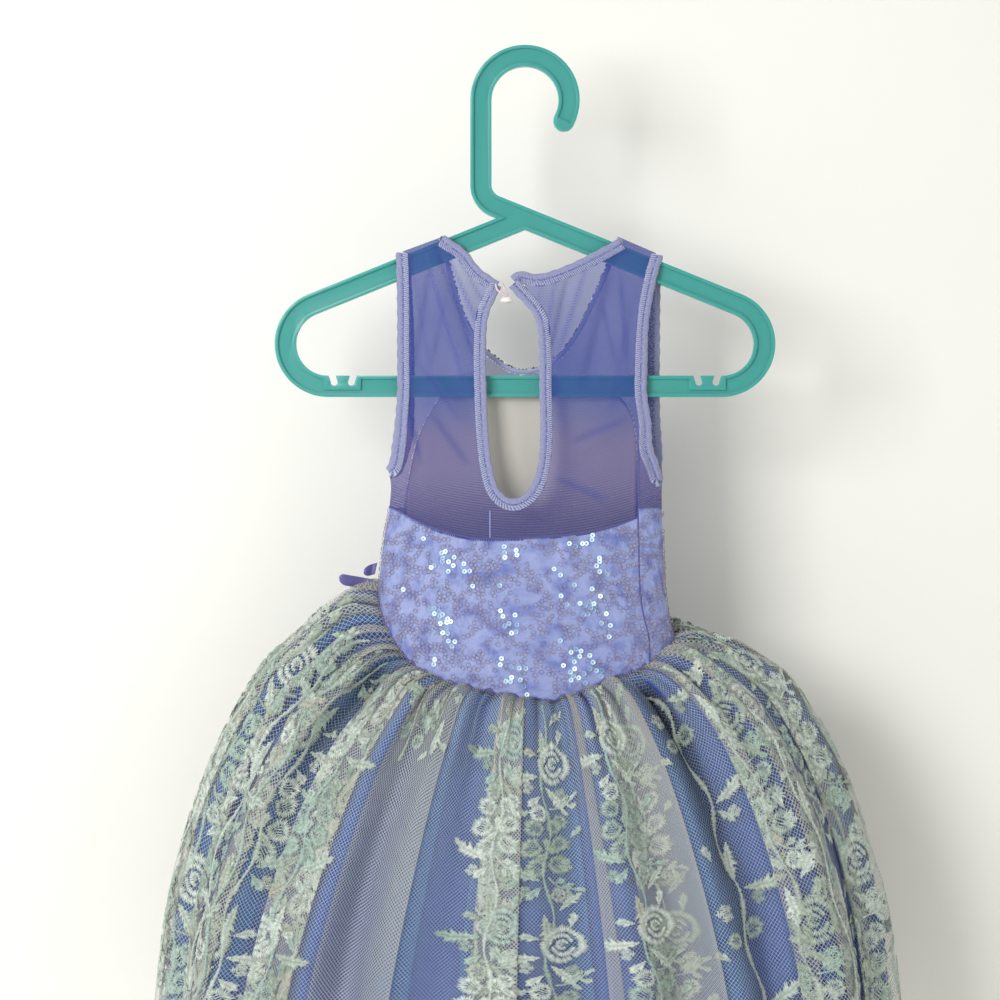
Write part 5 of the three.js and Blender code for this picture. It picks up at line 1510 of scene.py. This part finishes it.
# Bow of a thread: share of its length, height, painted shade and width there.
THREAD_BOW = [(0.0, 0.05, 0.72, 0.9), (0.5, 1.0, 1.14, 1.0), (1.0, 0.05, 0.86, 0.5)]
VINE_PITCH = 50
REPEAT_HEIGHT = 146
MOTIF_SCALE = 1.22
PLAIN_PANELS = [(-38, -8), (6, 12.5), (22, 31)]
EMBROIDERY_LIFT = 0.25
# How far the stems sway to each side, how far from the waist and the hem they stay, and
# how much further the middles of the motifs do. TO_HEM is more than the whole depth.
VINE_SWAY = 3.5
VINE_TOP = 14
VINE_FOOT = 5
MOTIF_TOP = 5
MOTIF_FOOT = 8
TO_HEM = 400
thread_draw = np.random.default_rng(21)


def threads_between(near, far, width=THREAD_WIDTH, height=THREAD_HEIGHT):
    """One thread from each near point to its far point: three pairs of points, low at the ends, bowed up
    between them and tipped a little sideways. Columns are x, y, height and shade. The shade is painted:
    darker at the ends, a painted shade where the thread dips into the net, and lighter on the bow, a
    painted highlight; it also differs at random from thread to thread."""
    along = far - near
    across = unit(leftwards(along)) * width / 2
    tip = thread_draw.uniform(-0.22, 0.22, len(near)) * width
    light = thread_draw.uniform(0.85, 1.12, len(near))
    rows = []
    for share, lift, shade, wide in THREAD_BOW:
        for side in (-1, 1):
            place = near + along * share + across * side * wide
            rows.append(np.column_stack([place, height * lift + side * tip * lift, light * shade]))
    return np.stack(rows, 1).reshape(-1, 4), repeated(BOWED_QUADS, 6, len(near))


def along_line(line, half):
    """Evenly spaced points of a line, its direction and its half width at each."""
    centre, _ = even_line(line, THREAD_STEP, least=2)
    along = unit(np.gradient(centre, axis=0))
    half = np.atleast_1d(half)
    share = np.linspace(0, 1, len(centre))
    return centre, along, np.interp(share, np.linspace(0, 1, len(half)), half)


def stroke(line, half, ragged=0.3, lean=0.0):
    """Satin stitch: threads across a line, each a little longer or shorter than the next."""
    centre, along, wide = along_line(line, half)
    across = leftwards(along) + lean * along
    left, right = 1 + thread_draw.uniform(-ragged, ragged, (2, len(centre), 1))
    across *= wide[:, None]
    return threads_between(centre - across * left, centre + across * right)


def feather(line, half, ragged=0.42, lean=0.6):
    """Leaf stitch: threads that run from over a midrib forwards and out to both sides."""
    centre, along, wide = along_line(line, half)
    sides = []
    for side in (-1, 1):
        out = side * leftwards(along) + lean * along
        reach = wide[:, None] * (1 + thread_draw.uniform(-ragged, ragged, (len(centre), 1)))
        sides.append(threads_between(centre - 0.3 * out, centre + out * reach))
    return joined(sides)


def arc(radius_x, radius_y, start, span, x=0.0, y=0.0, waves=0.0):
    """Points of an arc of a slightly wavy ellipse, in degrees."""
    turn = np.radians(start + span * np.linspace(0, 1, 50))
    radius = 1 + waves * np.sin(4 * turn + x + y)
    return np.stack([x + radius_x * radius * np.cos(turn), y + radius_y * radius * np.sin(turn)], 1)


def moved(shape, x=0.0, y=0.0, size=1.0, turn=0.0):
    """A flat shape turned in degrees, scaled and moved."""
    points, quads = shape
    s, c = sine_cosine(turn)
    flat = points[:, :2] @ np.array([[c, s], [-s, c]]) * size + (x, y)
    return np.concatenate([flat, points[:, 2:]], 1), quads


slim = np.sin(np.linspace(0.12, np.pi - 0.05, 24))
lengthwise = np.linspace(0, 1, 30)


def leaf_shape(length=21, half=3.4, bend=3.0):
    """Toothed leaf with a slight bend."""
    line = np.stack([length * lengthwise, bend * lengthwise ** 2], 1)
    return feather(line, half * slim ** 0.75)


def petal_shape():
    """Petal worked as a lobed ring, wider on its outer side, with bars over the opening."""
    half = 1.85 + 0.5 * np.cos(np.linspace(0, 2 * np.pi, 30))
    bars = np.array([(-2.1, 1.9), (-0.7, 2.8), (0.8, 2.8), (2.2, 2.0)]) + (0, 0.4)
    near = np.stack([-bars[:, 1], bars[:, 0] - 0.4], 1)
    far = np.stack([bars[:, 1], bars[:, 0] + 0.5], 1)
    return joined([stroke(arc(4.7, 4.3, 0, 350, waves=0.09), half, 0.5),
                   threads_between(near, far, THREAD_BAR_WIDTH, 0.3)])


def cluster_shape():
    """Six ringed petals packed round a stem, taller than wide, with leafy stitches between."""
    rows = [(-7.5, -13, 0.98, 215), (5.5, -15, 0.85, 300), (-9.5, 0.5, 1.08, 180), (8.6, -3.5, 0.9, 350),
            (-6.5, 13.5, 1.0, 130), (7.2, 10.5, 1.08, 30)]
    petals = [moved(petal_shape(), x, y, size, turn) for x, y, size, turn in rows]
    heart = [moved(leaf_shape(9, 2.2, 0.6), x, y, 1.0, turn) for x, y, turn in
             ((0, 2, -95), (0, -5, 60), (1, 4, 150), (-1, 0, 10))]
    return joined(petals + heart)


def flower_shape():
    """Small flower: five short fans of thread from its heart."""
    line = np.stack([0.8 + 4.2 * lengthwise, 0.3 * np.sin(6 * lengthwise)], 1)
    petal = stroke(line, 2.0 * slim ** 0.6, 0.25)
    return joined([moved(petal, turn=72 * k + 10 * (k % 2)) for k in range(5)])


def rose_shape():
    """Open rose about 25 mm across: broad broken petals that overlap round a coiled heart."""
    arcs = [(8.8, 9.6, 200, 120, 0.5, 0.4, 1.9), (9.4, 9.2, 318, 100, 0.6, -0.2, 2.0),
            (9.0, 9.4, 62, 128, -0.2, 0.6, 1.9), (5.4, 5.8, 20, 150, 0.8, 0.5, 1.35),
            (5.6, 5.4, 186, 160, -0.3, -0.2, 1.3), (2.6, 2.4, 60, 290, 0.3, 0.2, 1.0)]
    strokes = [stroke(arc(rx, ry, start, span, x, y, 0.04), half * (0.75 + 0.35 * slim), 0.28)
               for rx, ry, start, span, x, y, half in arcs]
    return joined([*strokes, moved(flower_shape(), size=0.3)])


def spray_shape():
    """Curved twig, 17 mm long, with small leaves on both sides and one at its tip."""
    line = np.stack([17 * lengthwise, 3.5 * np.sin(2.6 * lengthwise)], 1)
    leaves = [moved(leaf_shape(7.5, 2.0, 0.8), *line[k], 1.0, turn)
              for k, turn in ((8, -45), (13, 60), (18, -50), (23, 38), (29, -15))]
    return joined([stroke(line, 0.65, 0.2), *leaves])


MOTIFS = {
    "rose": rose_shape(), "cluster": cluster_shape(), "ring": petal_shape(), "leaf": leaf_shape(),
    "bud": leaf_shape(10, 2.6, -1.0), "flower": flower_shape(), "spray": spray_shape(),
}
# One repeat of a vine: motif, how far down, how far to the side, size and turn.
REPEAT = [
    ("leaf", 16, -7, 1.0, 78), ("leaf", 12, 5, 0.8, -50), ("bud", 26, 12, 1.0, -70),
    ("rose", 40, 9, 1.1, 0), ("leaf", 51, -4, 1.1, 174), ("bud", 36, -8, 1.0, -160),
    ("flower", 59, -12, 0.8, 0), ("leaf", 58, 4, 0.85, 40), ("flower", 64, 17, 1.1, 0),
    ("bud", 66, -3, 1.0, 150), ("ring", 79, -8, 0.95, 200), ("spray", 74, 3, 0.9, -28),
    ("ring", 84, 9, 0.75, 20), ("cluster", 107, -1, 1.02, 0), ("bud", 97, 16, 0.9, -35),
    ("flower", 121, 17, 0.9, 20), ("leaf", 134, -4, 1.1, -158), ("spray", 131, 4, 0.95, 22),
    ("bud", 140, -4, 1.1, 140), ("ring", 145, 8, 0.8, 40), ("flower", 143, -16, 0.8, 30),
]
# Vines of the back: turn on the outer layer, drop of the repeat, side, how far down they
# reach, and whether all their motifs are there or every other one.
BACK_VINES = [
    (-84, 20, 1, TO_HEM, 1), (-71, -60, -1, TO_HEM, 1), (-60, 12, 1, TO_HEM, 0),
    (-46, 34, -1, TO_HEM, 1), (-30, -28, 1, 74, 1), (-22, 24, -1, 62, 1), (-4.4, 3, 1, TO_HEM, 1),
    (2.5, 18, 1, TO_HEM, 1), (17.5, 10, 1, TO_HEM, 1), (37, -12, -1, TO_HEM, 0),
    (49, 30, 1, TO_HEM, 1), (60, -30, -1, TO_HEM, 0), (74, 10, 1, TO_HEM, 1),
    (86, -50, -1, TO_HEM, 0),
]


def vine_places(sheet):
    """Each vine by its flat place: those of the back by the turn at which they show, and
    others put evenly into every wider gap."""
    rows = []
    for turn, *kind in BACK_VINES:
        off = np.abs(either_way(sheet.turn - turn))
        outer = np.where(off < 0.3, sheet.level, -9)
        rows.append((sheet.flat[int(np.argmax(outer))], *kind))
    rows.sort()
    placed = list(rows)
    starts = [row[0] for row in rows]
    for here, after in zip(starts, [*starts[1:], starts[0] + sheet.flat_length]):
        extra = int(round((after - here) / VINE_PITCH)) - 1
        for k in range(1, extra + 1):
            at = (here + (after - here) * k / (extra + 1)) % sheet.flat_length
            turn = either_way(np.interp(at, sheet.flat, sheet.turn))
            if not any(left < turn < right for left, right in PLAIN_PANELS):
                drop = -((k * 67 + int(at)) % REPEAT_HEIGHT)
                placed.append((at, drop, (-1) ** k, TO_HEM, 1))
    return np.array(sorted(placed))


def embroider(name, sheet, vines):
    """All stems and motifs of some vines as one mesh on the hung lace."""
    parts, tones = [], []
    bottom = sheet.depth[-1] - VINE_FOOT
    for at, drop, side, reach, _ in vines:
        t = np.linspace(VINE_TOP, min(bottom, reach), 160)
        sway = side * VINE_SWAY * np.sin((t - drop) * 2 * np.pi / REPEAT_HEIGHT * 2)
        parts.append(stroke(np.stack([at + sway, t], 1), 1.35 + 0.5 * np.sin(t * 0.2), 0.4, 0.3))
        tones.append(np.full(len(parts[-1][0]), (at * 0.013) % 1))
    place, drop, side, reach, full = vines.T[:, :, None, None]
    for kind, (shape, quads) in MOTIFS.items():
        rows = [(down, aside, size, turn, k % 2 == 0)
                for k, (what, down, aside, size, turn) in enumerate(REPEAT) if what == kind]
        from_top, aside, size, turn, even = np.array(rows, float).T
        down = from_top + drop + (np.arange(-1, 3) * REPEAT_HEIGHT)[:, None]
        x = place + side * (aside + VINE_SWAY * np.sin(from_top * 4 * np.pi / REPEAT_HEIGHT))
        ok = (down > VINE_TOP + MOTIF_TOP) & (down < np.minimum(bottom - MOTIF_FOOT, reach))
        ok &= even + full > 0
        down, way, x, size, turn = (values[ok][:, None] for values in np.broadcast_arrays(
            down, side, x, size * MOTIF_SCALE, turn))
        px, py, height, shade = shape.T
        s, c = sine_cosine(turn)
        along = x + way * size * (px * c - py * s)
        level = down + size * (px * s + py * c)
        points = np.stack(np.broadcast_arrays(along, level, height, shade), -1).reshape(-1, 4)
        parts.append((points, repeated(quads, len(shape), len(x))))
        tones.append(np.repeat((x * 0.013 + down * 0.0071) % 1, len(shape)))
    flat, faces = joined(parts)
    corner = flat[faces]
    first, second = corner[:, 2, :2] - corner[:, 0, :2], corner[:, 3, :2] - corner[:, 1, :2]
    wrong = first[:, 0] * second[:, 1] - first[:, 1] * second[:, 0] > 0
    faces[wrong] = faces[wrong][:, ::-1]
    along, down, height, shade = flat.T
    points = sheet.from_flat(along, down, EMBROIDERY_LIFT + height)
    cloth = np.interp(along % sheet.flat_length, sheet.flat, sheet.cloth)
    # Painted shade: the threads are painted darker in the gathers' creases and in the gaps.
    hollow = in_crease(np.interp(cloth, sheet.cloth, sheet.turn),
                       np.interp(down, sheet.depth, sheet.runs))
    return put_mesh(name, points, faces, flat[:, :2], tone=np.concatenate(tones),
                    shade=shade * (1 - 0.5 * hollow))


# Rayon embroidery thread in pale mint with sage, cream and teal lots: soft silky gloss.
rayon = new_material("rayon_embroidery_thread")
rayon_tone = add_node(rayon, "Attribute", attribute_name="tone").outputs["Fac"]
rayon_ramp = add_node(rayon, "ValToRGB", {0: rayon_tone})
rayon_ramp.color_ramp.elements[0].color = linear("#adbab0")
rayon_ramp.color_ramp.elements[1].color = linear("#adae9e")
for place, colour in ((0.3, "#c2ccc3"), (0.55, "#97a697"), (0.8, "#9cb3aa")):
    rayon_ramp.color_ramp.elements.new(place).color = linear(colour)
# The shade attribute multiplies the thread's colour: painted shade at the thread ends and in creases,
# and a painted highlight on the bow.
rayon_shade = add_node(rayon, "Attribute", attribute_name="shade").outputs["Fac"]
rayon_tint = add_node(rayon, "Mix", {
    0: 1.0, 6: rayon_ramp, 7: rayon_shade}, data_type="RGBA", blend_type="MULTIPLY")
finish_material(rayon, add_node(rayon, "BsdfPrincipled", {
    "Base Color": rayon_tint, "Roughness": 0.5, "Sheen Weight": 0.25, "Specular IOR Level": 0.4}))

vines = vine_places(lace_sheet)
quarter = np.floor(vines[:, 0] / lace_sheet.flat_length * 4).astype(int)
embroidery = [embroider("embroidery_%d" % k, lace_sheet, vines[quarter == k]) for k in range(4)]
for piece in embroidery:
    piece.data.materials.append(rayon)
    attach(piece, "root")


# ---------------------------------------------------------------- closure and ribbon
# A domed pearl button hangs edge-on in a loop of clear elastic at the back neck. Two ends
# of the violet satin ribbon from the waist stand out at the left side.

BUTTON = (-12.2, -11.6, -155.2)
BUTTON_RADIUS = 4.1
BUTTON_HEIGHT = 4.4
BUTTON_RINGS = 22
BUTTON_SIDES = 48
LOOP_RADIUS = 0.75
LOOP_GAP = 2.2
LOOP_TOP = (-17.2, -144)
RIBBON_WALL = 0.6
RIBBON_ENDS = [
    # name, x, y, z, length, width, tilt
    ("waist_ribbon_upper", -98.6, 8, -331.5, 8, 7.5, -12),
    ("waist_ribbon_lower", -100.4, 13, -342.5, 23, 7.5, 10),
]


def pearl_button():
    """Lathe of a dome over a flatter back, with a fine waist between the two."""
    angle = np.linspace(0, np.pi, BUTTON_RINGS)
    radius = BUTTON_RADIUS * np.sin(angle) * (1 - 0.06 * bell((angle - 1.9) / 0.12))
    height = -np.cos(angle) * np.where(angle > np.pi / 2, 0.62, 0.38) * BUTTON_HEIGHT
    points, quads, _ = ring_shape(radius, height, BUTTON_SIDES)
    return face_outwards(put_mesh("pearl_button_dome", points + BUTTON, quads), weld=True)


def elastic_loop():
    """Round cord from the left binding's end down to the button's top, and back up."""
    x, y, z = BUTTON
    end_z = z + BUTTON_HEIGHT / 2 + LOOP_RADIUS + 0.3
    top_x, top_z = LOOP_TOP
    knots = [(top_x - LOOP_GAP, y + 0.4, top_z), (top_x - LOOP_GAP / 2, y, (top_z + end_z) / 2),
             (x - LOOP_GAP, y, end_z + 1), (x, y, end_z), (x, y, end_z + 2),
             (top_x + LOOP_GAP, y, top_z)]
    cord = thread_tube(curve_through(knots, 80), LOOP_RADIUS, sides=10)
    return face_outwards(put_mesh("elastic_loop", *cord), weld=True)


def ribbon_end(name, x, y, z, length, width, tilt):
    """Satin ribbon cut off short: slightly cupped, its tip rounded and curled back."""
    along, across = np.meshgrid(np.linspace(0, 1, 40), np.linspace(-1, 1, 14), indexing="ij")
    half = width / 2
    past = np.clip((along * length - length + half) / half, 0, 0.98)
    rise = half * np.sqrt(1 - past ** 2) * across
    s, c = sine_cosine(tilt)
    points = np.stack([x - along * length * c - rise * s,
                       y + 0.5 * across ** 2 + 0.9 * np.sin(along * 5.0),
                       z + rise * c + along * length * s], -1)
    uv = np.stack([along * length, across * half], -1)
    return shell(put_mesh(name + "_satin", points, grid_quads(*along.shape), uv), RIBBON_WALL)


# Pearlised acrylic: milky with a soft coat gloss.
pearl = new_material("pearlised_acrylic")
finish_material(pearl, add_node(pearl, "BsdfPrincipled", {
    "Base Color": "#efe9e6", "Roughness": 0.3, "Subsurface Weight": 0.3,
    "Subsurface Radius": (0.001, 0.001, 0.001), "Subsurface Scale": 1.0,
    "Coat Weight": 0.7, "Coat Roughness": 0.1}))
# Clear polyurethane elastic: milky where it is stretched.
elastic = new_material("clear_elastic")
finish_material(elastic, add_node(elastic, "BsdfPrincipled", {
    "Base Color": "#e3d3da", "Roughness": 0.25, "Transmission Weight": 0.3, "IOR": 1.45}))
# Violet polyester satin ribbon: a soft gloss along its length.
ribbon_satin = new_material("ribbon_satin")
finish_material(ribbon_satin, add_node(ribbon_satin, "BsdfPrincipled", {
    "Base Color": "#57528e", "Roughness": 0.4, "Sheen Weight": 0.3}))

button, loop = pearl_button(), elastic_loop()
ribbons = [ribbon_end(*row) for row in RIBBON_ENDS]
CLOSURE_PIECES = [
    (button, pearl, "pearl", "pearl_button"),
    (loop, elastic, "clear_elastic", "button_loop"),
    (ribbons[0], ribbon_satin, "ribbon", "waist_ribbon_upper"),
    (ribbons[1], ribbon_satin, "ribbon", "waist_ribbon_lower"),
]
for piece, material, slot, node_name in CLOSURE_PIECES:
    piece.data.materials.append(material)
    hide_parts(node_name)
    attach(piece, "root")
